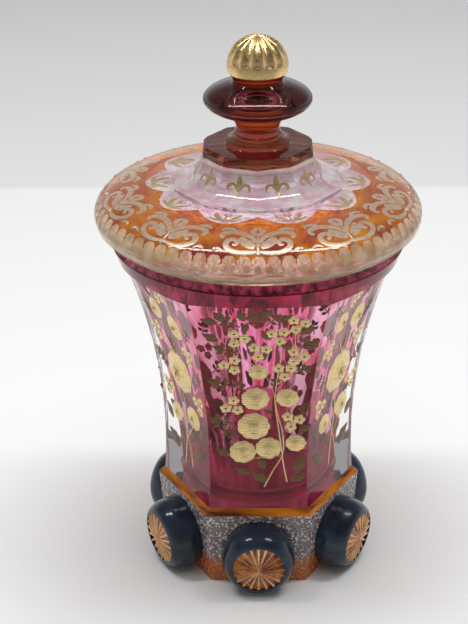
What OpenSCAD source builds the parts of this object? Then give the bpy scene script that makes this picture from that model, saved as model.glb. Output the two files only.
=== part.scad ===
// Covered beaker of cut and cased glass: a six-sided ruby beaker with a clear
// wheel-cut casing, a block foot that carries six star-cut prunts, and a domed
// cover with a ten-sided neck, collar, disc knop and fluted ball.
// Millimetres, +Z up, origin on the table under the middle of the foot.
// The front panel and prunt 1 face -Y, and the numbers run anticlockwise from above.

/* [Foot] */
// Distance from the axis to a foot face at the table
foot_flat = 28.75; // [26:0.25:32]
// How much further out a foot face stands at the ledge than at the table
foot_spread = 2.45; // [1:0.05:4]
// Height of the bevelled ledge on top of the foot
ledge_h = 2.1; // [1:0.1:4]
// How far the ledge bevel runs in
ledge_in = 2; // [1:0.1:2.2]
// Radius of the ground hollow under the foot
hollow_r = 20; // [10:0.5:25]
// Depth of the ground hollow under the foot
hollow_depth = 1.2; // [0.4:0.1:3]

/* [Prunts] */
// Widest radius of a prunt
prunt_r = 12.75; // [10:0.25:13]
// Radius of a prunt where it meets the foot
prunt_root_r = 12.5; // [9.5:0.1:12.6]
// How far a prunt stands out from the foot face
prunt_depth = 11; // [8:0.25:14]
// Height of the widest ring above the foot face
prunt_belly = 3.8; // [3:0.1:6]
// Space between a prunt and the table
prunt_above_table = 0.5; // [0.3:0.1:4]
// Foot face left above a prunt
prunt_below_ledge = 2; // [1:0.1:6]
// Radius of the star-cut face
star_r = 9; // [6:0.1:9.4]
// Rise of the star-cut face at its middle
star_rise = 0.9; // [0.3:0.1:2]
// Number of rays in a star
star_rays = 20; // [12:2:24]
// Depth of a ray at the edge of the star
ray_depth = 1; // [0.4:0.1:1.6]

/* [Beaker] */
// Distance from the axis to a panel at its narrowest
waist_flat = 28.75; // [26:0.25:29]
// Height of the narrowest place above the ledge
waist_rise = 13.9; // [5:0.1:25]
// Radius of the big wheel that hollows the panels
wheel_r = 208; // [190:1:260]
// Height of the panels
panel_h = 83.4; // [70:0.2:88]
// Slope of the step that ends a panel under the rim, in degrees
step_slope = 16; // [5:1:30]
// Height of the round rim band above the panels
rim_h = 11.3; // [8:0.1:16]
// Height of the rim's sharp ring above the panels
ring_rise = 6.8; // [3:0.1:7.5]
// How far the panel corners are trimmed round under the rim
corner_trim = 0.3; // [0.15:0.05:0.8]
// How far the sharp ring stands out past the panel corners
ring_out = 2.5; // [1:0.1:4]
// How far the rim draws in again above the sharp ring
rim_draw = 1.6; // [0.5:0.1:3]
// Least thickness of the clear casing, in the middle of a panel
casing_t = 1.35; // [0.8:0.05:2.5]
// Thickness of the ruby lining
lining_t = 1.6; // [1:0.1:3]
// Clear glass under the lining
casing_floor = 0.8; // [0.5:0.1:6]
// Radius of the turn between the lining's floor and its wall
bowl_turn = 3.2; // [3.1:0.1:12]

/* [Cover] */
// Space between the cover and the rim it rests on
seat_gap = 0.15; // [0:0.05:0.4]
// How far the cover stands out past the rim's sharp ring
cover_overhang = 5.5; // [3:0.1:8]
// Height of the cover's widest ring above its seat
lip_h = 5.3; // [3:0.1:8]
// How far the lip draws in from the widest ring down to the seat
lip_draw = 3; // [1:0.1:4]
// Height of the shoulder above the widest ring
shoulder_h = 9.2; // [6:0.1:12]
// Width of the rounded shoulder
shoulder_w = 17; // [12:0.5:20]
// Rise of the petal ring from the shoulder to the neck
petal_rise = 1.7; // [0.5:0.1:3]
// Sides of the neck and the collar, and petals round the neck
cover_sides = 10; // [8:1:12]
// Distance from the axis to a neck facet at the top
neck_flat = 18.2; // [15:0.1:20]
// Radius of the wheel that hollows the neck facets
neck_wheel_r = 9.9; // [7:0.1:11]
// How deep that wheel bites into the petal ring
neck_bite = 0.4; // [0.2:0.05:0.8]
// Length of a petal from the neck to its tip
petal_l = 9.4; // [6:0.1:9.6]
// Radius of the wheel that hollows the petals
petal_wheel_r = 60; // [40:1:90]
// How far the petals start inside the foot of the neck
petal_bite = 0.5; // [0.3:0.05:1]
// Thickness of the cover's glass
cover_t = 4.2; // [3:0.1:6]
// Depth of the flange that drops into the mouth
flange_h = 5; // [3:0.1:9]
// Thickness of the flange
flange_t = 2.8; // [2:0.1:5]
// Space between the flange and the mouth
flange_gap = 0.8; // [0.4:0.1:2]

/* [Finial] */
// How far the collar's corners stay inside the neck's corners
collar_inset = 0.15; // [0:0.05:1]
// Height of the collar
collar_h = 3.1; // [2:0.1:5]
// Height of the bevel round the collar's top
collar_bevel = 1.2; // [0.5:0.1:1.8]
// Radius of the stem's foot on the collar
stem_foot_r = 10.6; // [9:0.1:13]
// Radius of the stem at its narrowest
stem_r = 7.25; // [6:0.05:8]
// Height of the stem's foot
stem_foot_h = 6.4; // [4:0.1:9]
// Height of the plain stem between its foot and the disc
stem_plain = 2.8; // [2:0.1:8]
// Radius of the disc knop
disc_r = 18; // [14:0.25:20]
// Thickness of the disc knop in the middle
disc_t = 12.2; // [7:0.1:14]
// Radius of the throat between disc and ball
throat_r = 8.2; // [6.5:0.1:8.8]
// Height of the throat above the disc's top
throat_h = 3; // [2:0.1:6]
// Radius of the ball
ball_r = 10.1; // [9.6:0.1:13]
// How far below its middle the ball is cut flat to sit on the throat
ball_drop = 2; // [1.5:0.1:4]
// Number of flutes on the ball
ball_flutes = 16; // [10:1:20]
// Depth of a flute
flute_depth = 0.7; // [0.3:0.05:0.9]

/* [Hidden] */

$fn = 96;
sides = 6;
side_turn = 360 / sides;
corner = 1 / cos(side_turn / 2);
// Overlength of cutting tools, so that they pass right through
over = 2 * foot_flat;
// Steps in a rounded profile
steps = 10;

// Foot heights and slope
foot_h = prunt_above_table + 2 * prunt_r + prunt_below_ledge;
ledge_z = foot_h + ledge_h;
foot_lean = atan(foot_spread / foot_h);
ledge_flat = foot_flat + foot_spread;
prunt_z = prunt_above_table + prunt_r;
hollow_ball_r = bow(hollow_r, hollow_depth);

// Beaker heights and radii
waist_z = ledge_z + waist_rise;
panel_top = ledge_z + panel_h;
rim_top = panel_top + rim_h;
ring_z = panel_top + ring_rise;
panel_corner_r = panel_at(panel_top) * corner;
band_r = panel_corner_r - corner_trim;
ring_r = panel_corner_r + ring_out;
mouth_r = ring_r - rim_draw;
bowl_z = ledge_z + casing_floor;

// Cover heights and radii
seat_z = rim_top + seat_gap;
widest_z = seat_z + lip_h;
cover_r = ring_r + cover_overhang;
shoulder_r = cover_r - shoulder_w;
shoulder_z = widest_z + shoulder_h;
neck_foot_r = neck_flat + neck_wheel_r;
neck_foot_z = shoulder_z + petal_rise;
neck_top = neck_foot_z + neck_wheel_r - neck_bite;
neck_turn = 360 / cover_sides;
// Share of the lip's height that is rounded
lip_round = 0.75;
flange_z = seat_z - flange_h;
flange_r = wall_at(flange_z, casing_t + lining_t) - flange_gap;
cave_r = flange_r - flange_t;
cave_top = shoulder_z - cover_t;
cave_turn = cave_top - seat_z;
petal_z = shoulder_z + petal_rise * (1 - petal_l / (shoulder_r - neck_foot_r));

// Finial heights and radii
collar_z = neck_top + collar_h;
collar_r = neck_flat / cos(neck_turn / 2) - collar_inset;
disc_z = collar_z + stem_foot_h + stem_plain + disc_t / 2;
throat_top = disc_z + disc_t / 2 + throat_h;
ball_z = throat_top + ball_drop;
ball_seat_r = sqrt(ball_r * ball_r - ball_drop * ball_drop);
// Share of the stem foot's height that is hollowed, and the angle from the disc's edge to its root
stem_round = 0.75;
disc_turn = 60;
// Latitudes where a flute starts, and where the flutes crowd together towards the pole
flute_start = 7;
flute_full = 60;
ball_rows = 16;
ball_cols = 4 * ball_flutes;

// Radius of the circle whose arc has a given half-chord and height
function bow(half, h) = (half * half + h * h) / (2 * h);

// Distance from the axis to the hollowed wall at height z, a given depth inside the panels
function wall_at(z, depth) =
    waist_flat + wheel_r - sqrt(pow(wheel_r + depth, 2) - pow(z - waist_z, 2));

// Distance from the axis to the middle of a panel at height z
function panel_at(z) = wall_at(z, 0);

// Points on a quarter ellipse from angle a0 to angle a1
function arc(centre, wide, high, a0, a1) =
    [for (i = [0 : steps])
        let (a = a0 + (a1 - a0) * i / steps)
        [centre[0] + wide * cos(a), centre[1] + high * sin(a)]];

// Half-space outside a flat lap at a given distance, leaning out by an angle about height z
module lap(flat, lean, z) {
    translate([0, -flat, z])
        rotate([lean, 0, 0])
            translate([-over, -over, -over])
                cube([2 * over, over, 2 * over]);
}

// Copies of a tool around the axis
module around(count, start = 0) {
    for (i = [0 : count - 1])
        rotate([0, 0, start + i * 360 / count])
            children();
}

// Everything inside the bowl's hollowed wall, a given depth inside the panels, up to a height
module bowl(depth, top) {
    floor_z = bowl_z + depth - casing_t;
    turn = bowl_turn - depth + casing_t;
    wall_r = wall_at(floor_z + turn, depth);
    rotate_extrude()
        difference() {
            polygon(concat([[0, floor_z]],
                arc([wall_r - turn, floor_z + turn], turn, turn, -90, 0),
                [[wheel_r, floor_z + turn], [wheel_r, top], [0, top]]));
            translate([waist_flat + wheel_r, waist_z])
                circle(r = wheel_r + depth, $fn = 360);
        }
}

// Wheel-cut panel that runs up to its step under the rim
module panel_cut() {
    difference() {
        translate([0, -waist_flat - wheel_r, waist_z])
            rotate([0, 90, 0])
                cylinder(r = wheel_r, h = 2 * over, center = true, $fn = 360);
        translate([0, -panel_at(panel_top), panel_top])
            rotate([-step_slope, 0, 0])
                translate([-2 * over, -wheel_r, 0])
                    cube([4 * over, 2 * wheel_r, 2 * wheel_r]);
    }
}

module foot_block() {
    color("wheat")
        difference() {
            linear_extrude(height = ledge_z)
                circle(r = ledge_flat * corner * corner, $fn = 64);
            around(sides)
                lap(foot_flat, foot_lean, 0);
            around(sides)
                lap(ledge_flat, atan(-ledge_in / ledge_h), foot_h);
            translate([0, 0, hollow_depth - hollow_ball_r])
                sphere(r = hollow_ball_r, $fn = 180);
        }
}

module body_casing() {
    color("mistyrose")
        difference() {
            rotate_extrude()
                polygon([[0, ledge_z], [band_r, ledge_z], [band_r, panel_top + corner_trim],
                    [ring_r, ring_z], [mouth_r, rim_top], [0, rim_top]]);
            around(sides)
                panel_cut();
            bowl(casing_t, rim_top + over);
        }
}

module ruby_lining() {
    color("crimson")
        difference() {
            bowl(casing_t, rim_top);
            bowl(casing_t + lining_t, rim_top + over);
        }
}

// Frame of one prunt, with its axis square to the leaning foot face
module on_foot_face(i) {
    rotate([0, 0, (i - 1) * side_turn])
        translate([0, -foot_flat, 0])
            rotate([90 + foot_lean, 0, 0])
                translate([0, prunt_z, 0])
                    children();
}

module prunt_shell(i) {
    color("darkslategray")
        on_foot_face(i)
            rotate_extrude()
                polygon(concat([[star_r, 0], [prunt_root_r, 0]],
                    [for (k = [0 : steps - 1])
                        [prunt_root_r + (prunt_r - prunt_root_r) * sin(90 * k / steps),
                            prunt_belly * k / steps]],
                    arc([star_r, prunt_belly], prunt_r - star_r, prunt_depth - prunt_belly, 0, 90)));
}

// Solid above the star-cut face: ridges and valleys fall from its middle at height 0
module star_tool() {
    // Reach of the tool past the edge of the star
    reach = 1.3;
    count = 2 * star_rays;
    top_z = 2 * star_rise;
    rim = [for (k = [0 : count - 1])
        let (fall = star_rise + (k % 2) * ray_depth, turn = k * 360 / count)
        [reach * star_r * cos(turn), reach * star_r * sin(turn), -reach * fall]];
    lid = [for (p = rim) [p[0], p[1], top_z]];
    polyhedron(
        points = concat(rim, lid, [[0, 0, 0], [0, 0, top_z]]),
        faces = [for (k = [0 : count - 1], part = [0 : 3])
            let (next = (k + 1) % count)
            [[k, next, 2 * count], [next, k, count + k],
                [next, count + k, count + next], [count + next, count + k, 2 * count + 1]][part]]);
}

module prunt_core(i) {
    color("darkgoldenrod")
        on_foot_face(i)
            difference() {
                cylinder(r = star_r, h = prunt_depth + star_rise);
                translate([0, 0, prunt_depth + star_rise])
                    star_tool();
            }
}

// Hollow facet of the neck
module neck_cut() {
    translate([0, -neck_foot_r, neck_top])
        rotate([0, 90, 0])
            cylinder(r = neck_wheel_r, h = neck_foot_r, center = true);
}

// Petal outside the neck: a level wheel cut that runs out where the petal ring falls away
module petal_cut() {
    translate([0, petal_bite - neck_foot_r, petal_z + petal_wheel_r])
        rotate([90, 0, 0])
            cylinder(r = petal_wheel_r, h = over, $fn = 180);
}

module cover_bell() {
    color("goldenrod")
        difference() {
            rotate_extrude()
                polygon(concat([[0, flange_z], [flange_r, flange_z], [flange_r, seat_z],
                    [cover_r - lip_draw, seat_z]],
                    arc([cover_r - lip_draw, widest_z], lip_draw, lip_h * lip_round, -90, -90 / steps),
                    arc([shoulder_r, widest_z], shoulder_w, shoulder_h, 0, 90),
                    [[neck_foot_r - neck_bite, neck_foot_z],
                        [neck_foot_r - 2 * neck_bite, neck_top], [0, neck_top]]));
            around(cover_sides, neck_turn / 2)
                neck_cut();
            around(cover_sides, neck_turn / 2)
                petal_cut();
            rotate_extrude()
                polygon(concat([[0, flange_z - over], [cave_r, flange_z - over]],
                    arc([cave_r - cave_turn, seat_z], cave_turn, cave_turn, 0, 90),
                    [[0, cave_top]]));
        }
}

module finial_collar() {
    color("saddlebrown")
        translate([0, 0, neck_top])
            rotate([0, 0, -90])
                intersection() {
                    cylinder(r = collar_r, h = collar_h, $fn = cover_sides);
                    cylinder(r1 = collar_r + collar_h - collar_bevel, r2 = collar_r - collar_bevel,
                        h = collar_h, $fn = cover_sides);
                }
}

module finial_stem() {
    color("sienna")
        rotate_extrude()
            polygon(concat([[0, collar_z], [stem_foot_r, collar_z]],
                arc([stem_foot_r, collar_z + stem_foot_h],
                    stem_foot_r - stem_r, stem_foot_h * stem_round, 270, 180),
                arc([0, disc_z], disc_r, disc_t / 2, -disc_turn, disc_turn),
                [[throat_r, throat_top - throat_h], [ball_seat_r, throat_top], [0, throat_top]]));
}

// Distance of the ball's surface from its middle: hollow flutes between sharp ridges
function ball_at(lat, turn) =
    let (across = 2 * (turn * ball_flutes / 360 - round(turn * ball_flutes / 360)),
        runout = max(0, min(1, (lat - flute_start) / flute_start)),
        crowd = min(1, cos(lat) / cos(flute_full)))
    ball_r - flute_depth * runout * crowd * (1 - across * across);

// Point on the ball in row i of the latitudes and column j of the turns
function ball_point(i, j) =
    let (low = -asin(ball_drop / ball_r),
        lat = low + (90 - low) * i / ball_rows,
        turn = j * 360 / ball_cols,
        r = ball_at(lat, turn))
    [r * cos(lat) * cos(turn), r * cos(lat) * sin(turn), r * sin(lat)];

module finial_ball() {
    last = ball_rows * ball_cols;
    color("gold")
        translate([0, 0, ball_z])
            polyhedron(
                points = concat(
                    [for (i = [0 : ball_rows - 1], j = [0 : ball_cols - 1]) ball_point(i, j)],
                    [[0, 0, ball_r], [0, 0, -ball_drop]]),
                faces = concat(
                    [for (i = [0 : ball_rows - 2], j = [0 : ball_cols - 1], half = [0, 1])
                        let (a = i * ball_cols + j, b = i * ball_cols + (j + 1) % ball_cols)
                        half == 0 ? [a + ball_cols, b, a] : [b, a + ball_cols, b + ball_cols]],
                    [for (j = [0 : ball_cols - 1])
                        let (a = last - ball_cols + j, b = last - ball_cols + (j + 1) % ball_cols)
                        [a, last, b]],
                    [for (j = [0 : ball_cols - 1]) [j, (j + 1) % ball_cols, last + 1]]));
}

foot_block();
body_casing();
ruby_lining();
for (i = [1 : sides]) {
    prunt_shell(i);
    prunt_core(i);
}
cover_bell();
finial_collar();
finial_stem();
finial_ball();
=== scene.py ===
"""Looks of a covered beaker of cut, cased and gilded glass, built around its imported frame.

Lengths are in millimetres until a mesh is made, and angles are in degrees.
Azimuth 0 faces the camera (-Y) and grows anticlockwise seen from above.
"""

import logging
import math
from abc import ABC, abstractmethod
from collections.abc import Callable
from dataclasses import dataclass, field, replace
from enum import Enum

import bpy
import numpy as np
from mathutils import Matrix, Vector


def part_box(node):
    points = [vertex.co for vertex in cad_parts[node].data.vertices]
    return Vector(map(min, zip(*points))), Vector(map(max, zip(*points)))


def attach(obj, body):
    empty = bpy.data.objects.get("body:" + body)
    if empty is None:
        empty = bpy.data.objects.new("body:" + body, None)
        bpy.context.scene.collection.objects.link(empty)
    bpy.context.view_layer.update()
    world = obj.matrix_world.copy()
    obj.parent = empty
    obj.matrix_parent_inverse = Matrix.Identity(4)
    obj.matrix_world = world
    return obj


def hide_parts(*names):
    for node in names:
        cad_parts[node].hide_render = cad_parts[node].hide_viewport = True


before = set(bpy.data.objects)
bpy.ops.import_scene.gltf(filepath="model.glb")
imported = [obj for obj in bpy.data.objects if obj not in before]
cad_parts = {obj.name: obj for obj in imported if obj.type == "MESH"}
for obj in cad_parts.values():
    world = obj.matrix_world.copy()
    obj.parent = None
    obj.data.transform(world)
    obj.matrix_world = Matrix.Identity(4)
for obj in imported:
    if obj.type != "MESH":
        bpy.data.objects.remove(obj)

log = logging.getLogger("covered_beaker")

MM = 0.001
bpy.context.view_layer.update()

Array = np.ndarray
Colour = tuple[float, float, float]
Point = tuple[float, float, float]
Table = tuple[tuple[float, ...], ...]
Strokes = tuple[tuple[Table, float], ...]
Lay = Callable[[Array], tuple[Array, Array]]


class Body(Enum):
    """CAD bodies that pieces ride on."""

    BEAKER = "beaker"
    COVER = "cover"


class Slot(Enum):
    """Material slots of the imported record."""

    CLEAR = "clear_glass"
    RUBY = "ruby_glass"
    FOOT = "foot_glass"
    SLATE = "slate_overlay"
    STAR = "amber_star"
    COVER = "cover_glass"
    AMBER = "amber_glass"
    GILDING = "gilding"


def low_of(node: str) -> float:
    """Height of a CAD node's lowest point."""
    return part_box(node)[0].z / MM


def top_of(node: str) -> float:
    """Height of a CAD node's highest point."""
    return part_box(node)[1].z / MM


def polar(azimuth: Array, radius: Array | float, z: Array | float) -> Array:
    """Places points round the axis.

    Args:
        azimuth: Azimuths of the points.
        radius: Distance of each point from the axis, or of all.
        z: Height of each point, or of all.

    Returns:
        Points as rows of x, y and z.
    """
    a = np.radians(azimuth)
    columns = np.broadcast_arrays(radius * np.sin(a), -radius * np.cos(a), z)
    return np.stack(columns, axis=1).astype(float)


def pole(z: float) -> Array:
    """One point on the axis."""
    return np.array([[0.0, 0.0, z]])


def arc(r: float, z: float, reach: float, rise: float, angles: Array) -> list[tuple[float, float]]:
    """Rows of radius and height on an elliptic arc round (r, z), at angles from straight outwards."""
    return [(r + reach * math.cos(a), z + rise * math.sin(a)) for a in np.radians(angles)]


def in_panel(azimuth: Array) -> Array:
    """Azimuths from the middle of the panel that each lies in, in radians."""
    return np.radians((azimuth + 30) % 60 - 30)


def smooth_line(points: Table, steps: int = 6) -> Array:
    """Runs a smooth curve through a few points.

    Args:
        points: Points that the curve passes through.
        steps: Pieces between one point and the next.

    Returns:
        Points along the curve, as rows.
    """
    p = np.array(points, float)
    p = np.vstack((2 * p[0] - p[1], p, 2 * p[-1] - p[-2]))
    t = np.linspace(0, 1, steps, endpoint=False)[:, None]
    runs = []
    for a, b, c, d in zip(p, p[1:], p[2:], p[3:]):
        runs.append(0.5 * (2 * b + (c - a) * t + (2 * a - 5 * b + 4 * c - d) * t**2
                           + (3 * b - a - 3 * c + d) * t**3))
    return np.vstack((*runs, p[-2:-1]))


@dataclass
class Skin:
    """A closed surface made of points and faces, each face with the number of its finish."""

    points: Array
    faces: list[list[int]]
    numbers: Array

    @staticmethod
    def over(rings: list[Array], bands: list | None = None, closed: bool = False) -> "Skin":
        """Joins rings of points into a closed skin that faces outwards.

        Args:
            rings: Rings with the same number of points each, or one point for a pole.
            bands: Finish number of each band between two rings, or one number for each of its faces.
            closed: Whether the last ring joins the first.

        Returns:
            The skin.
        """
        counts = [len(r) for r in rings]
        count = max(counts)
        starts = np.concatenate(([0], np.cumsum(counts)))
        here = np.arange(count)
        ahead = (here + 1) % count
        faces: list[list[int]] = []
        for i in range(len(rings) - (0 if closed else 1)):
            j = (i + 1) % len(rings)
            if counts[i] == 1:
                rows = np.stack((np.full(count, starts[i]), starts[j] + ahead, starts[j] + here), 1)
            elif counts[j] == 1:
                rows = np.stack((starts[i] + here, starts[i] + ahead, np.full(count, starts[j])), 1)
            else:
                rows = np.stack((starts[i] + here, starts[i] + ahead, starts[j] + ahead, starts[j] + here), 1)
            faces += rows.tolist()
        points = np.vstack(rings)
        bands = bands or [0] * (len(faces) // count)
        numbers = np.concatenate([np.broadcast_to(np.asarray(b), count) for b in bands])
        skin = Skin(points, faces, numbers)
        return skin if skin.volume() > 0 else skin.turned()

    @staticmethod
    def joined(skins: list["Skin"]) -> "Skin":
        """Puts several skins into one.

        Args:
            skins: The skins.

        Returns:
            One skin with all their points and faces.
        """
        faces: list[list[int]] = []
        start = 0
        for s in skins:
            faces += [[start + k for k in f] for f in s.faces]
            start += len(s.points)
        points = np.vstack([s.points for s in skins])
        return Skin(points, faces, np.concatenate([s.numbers for s in skins]))

    def volume(self) -> float:
        """Signed volume inside the skin.

        Returns:
            The volume, below zero where the faces point inwards.
        """
        total = 0.0
        for size in (3, 4):
            f = np.array([x for x in self.faces if len(x) == size], int)
            for k in range(1, size - 1) if len(f) else ():
                a, b, c = self.points[f[:, 0]], self.points[f[:, k]], self.points[f[:, k + 1]]
                total += float(np.einsum("ij,ij->i", a, np.cross(b, c)).sum()) / 6
        return total

    def turned(self) -> "Skin":
        """The same skin with its faces pointing the other way."""
        return Skin(self.points, [f[::-1] for f in self.faces], self.numbers)

    def moved(self, matrix: Matrix) -> "Skin":
        """The same skin moved by a matrix in millimetres."""
        m = np.array(matrix)
        return Skin(self.points @ m[:3, :3].T + m[:3, 3], self.faces, self.numbers)

    def to_object(self, name: str, sharp: float = 30.0) -> bpy.types.Object:
        """Makes a Blender object of the skin.

        Args:
            name: Name of the object and its mesh.
            sharp: Angle between faces above which an edge stays sharp.

        Returns:
            The object, linked to the scene, at the origin.
        """
        mesh = bpy.data.meshes.new(name)
        mesh.from_pydata((self.points * MM).tolist(), [], self.faces)
        mesh.polygons.foreach_set("material_index", self.numbers.astype(np.int32))
        mesh.shade_smooth()
        mesh.set_sharp_from_angle(angle=math.radians(sharp))
        mesh.update()
        return link(name, mesh)


def link(name: str, data: bpy.types.ID) -> bpy.types.Object:
    """Makes an object and links it to the scene.

    Args:
        name: Name of the object.
        data: Its mesh, light or camera.

    Returns:
        The object.
    """
    obj = bpy.data.objects.new(name, data)
    bpy.context.scene.collection.objects.link(obj)
    return obj


def mark(mesh: bpy.types.Mesh, name: str, values: object, kind: str = "FLOAT", domain: str = "POINT") -> None:
    """Stores an attribute on a mesh.

    Args:
        mesh: The mesh.
        name: Name of the attribute.
        values: Its values, in the order of the mesh's elements.
        kind: Its data type.
        domain: Elements that carry it.
    """
    attribute = mesh.attributes.new(name, kind, domain)
    attribute.data.foreach_set("vector" if kind == "FLOAT_VECTOR" else "value", np.ravel(values).tolist())


class TreePen:
    """Adds nodes to one tree and joins their sockets."""

    def __init__(self, tree: bpy.types.NodeTree) -> None:
        """Keeps the tree to draw in."""
        self.tree = tree

    def fill(self, node: bpy.types.Node, inputs: dict) -> None:
        """Gives a node's inputs their values or sources.

        Args:
            node: The node.
            inputs: Value or source socket of each input, by its name or number.
        """
        for key, value in inputs.items():
            if isinstance(value, bpy.types.NodeSocket):
                self.tree.links.new(value, node.inputs[key])
            else:
                node.inputs[key].default_value = value

    def add(self, kind: str, inputs: dict | None = None, **settings: object) -> bpy.types.Node:
        """Adds a node.

        Args:
            kind: Type of the node.
            inputs: Value or source socket of each input, by its name or number.
            settings: Properties of the node.

        Returns:
            The node.
        """
        node = self.tree.nodes.new(kind)
        for name, value in settings.items():
            setattr(node, name, value)
        self.fill(node, inputs or {})
        return node

    def place(self) -> bpy.types.NodeSocket:
        """Adds the object's own coordinates."""
        return self.add("ShaderNodeTexCoord").outputs["Object"]

    def sum(self, kind: str, *terms: object) -> bpy.types.NodeSocket:
        """Adds a Math node.

        Args:
            kind: Its operation.
            terms: Its values or source sockets.

        Returns:
            Its result.
        """
        return self.add("ShaderNodeMath", dict(enumerate(terms)), operation=kind).outputs[0]

    def spread(self, value: object, old: tuple[float, float], new: tuple) -> bpy.types.NodeSocket:
        """Adds a Map Range node.

        Args:
            value: Source socket.
            old: Range of the source.
            new: Range of the result, as numbers or sockets.

        Returns:
            The result.
        """
        inputs = {0: value, 1: old[0], 2: old[1], 3: new[0], 4: new[1]}
        return self.add("ShaderNodeMapRange", inputs).outputs[0]

    def blend(self, factor: object, a: object, b: object) -> bpy.types.NodeSocket:
        """Adds a colour Mix node.

        Args:
            factor: Share of the second colour.
            a: First colour or its socket.
            b: Second colour or its socket.

        Returns:
            The mixed colour.
        """
        return self.add("ShaderNodeMix", {0: factor, 6: a, 7: b}, data_type="RGBA").outputs[2]


class GroupPen(TreePen):
    """Pen for a new node group with named sockets."""

    def __init__(self, name: str, kind: str, inputs: dict[str, str], outputs: dict[str, str]) -> None:
        """Starts the group.

        Args:
            name: Name of the group.
            kind: Type of the tree.
            inputs: Socket type of each input.
            outputs: Socket type of each output.
        """
        super().__init__(bpy.data.node_groups.new(name, kind))
        for side, sockets in (("INPUT", inputs), ("OUTPUT", outputs)):
            for socket, socket_type in sockets.items():
                self.tree.interface.new_socket(socket, in_out=side, socket_type="NodeSocket" + socket_type)
        self.source = self.tree.nodes.new("NodeGroupInput").outputs
        self.sink = self.tree.nodes.new("NodeGroupOutput").inputs

    def close(self, **results: bpy.types.NodeSocket) -> bpy.types.NodeTree:
        """Ends the group.

        Args:
            results: Source socket of each output.

        Returns:
            The group's tree.
        """
        for name, socket in results.items():
            self.tree.links.new(socket, self.sink[name])
        return self.tree


class MaterialPen(TreePen):
    """Pen for a new material with its shader."""

    # How far a surface slants where its edge colour starts and where it is full
    EDGE = (0.1, 0.8)

    def __init__(self, name: str) -> None:
        """Starts the material.

        Args:
            name: Name of the material.
        """
        self.material = bpy.data.materials.new(name)
        self.material.use_nodes = True
        super().__init__(self.material.node_tree)
        self.shader = next(n for n in self.tree.nodes if n.type == "BSDF_PRINCIPLED")

    def use(self, group: bpy.types.NodeTree, **inputs: object) -> bpy.types.NodeOutputs:
        """Places a shared group.

        Args:
            group: The group.
            inputs: Its input values by name, with colours as tuples.

        Returns:
            The outputs of the group's node.
        """
        values = {name: (*v, 1.0) if isinstance(v, tuple) else v for name, v in inputs.items()}
        return self.add("ShaderNodeGroup", values, node_tree=group).outputs

    def tinted(self, colour: bpy.types.NodeSocket, edge: Colour | None) -> bpy.types.NodeSocket:
        """Turns a colour towards another one where the surface slants away.

        Args:
            colour: Colour of the surface.
            edge: Colour where it slants away, if that differs.

        Returns:
            The tinted colour.
        """
        if not edge:
            return colour
        facing = self.add("ShaderNodeLayerWeight", {"Blend": 0.5}).outputs["Facing"]
        return self.blend(self.spread(facing, self.EDGE, (0.0, 1.0)), colour, (*edge, 1.0))

    def emboss(self, height: bpy.types.NodeSocket, depth: float) -> None:
        """Bumps the surface by a height socket, scaled to a depth in metres."""
        bump = self.add("ShaderNodeBump", {"Distance": depth, "Height": height})
        self.fill(self.shader, {"Normal": bump.outputs[0]})


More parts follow.
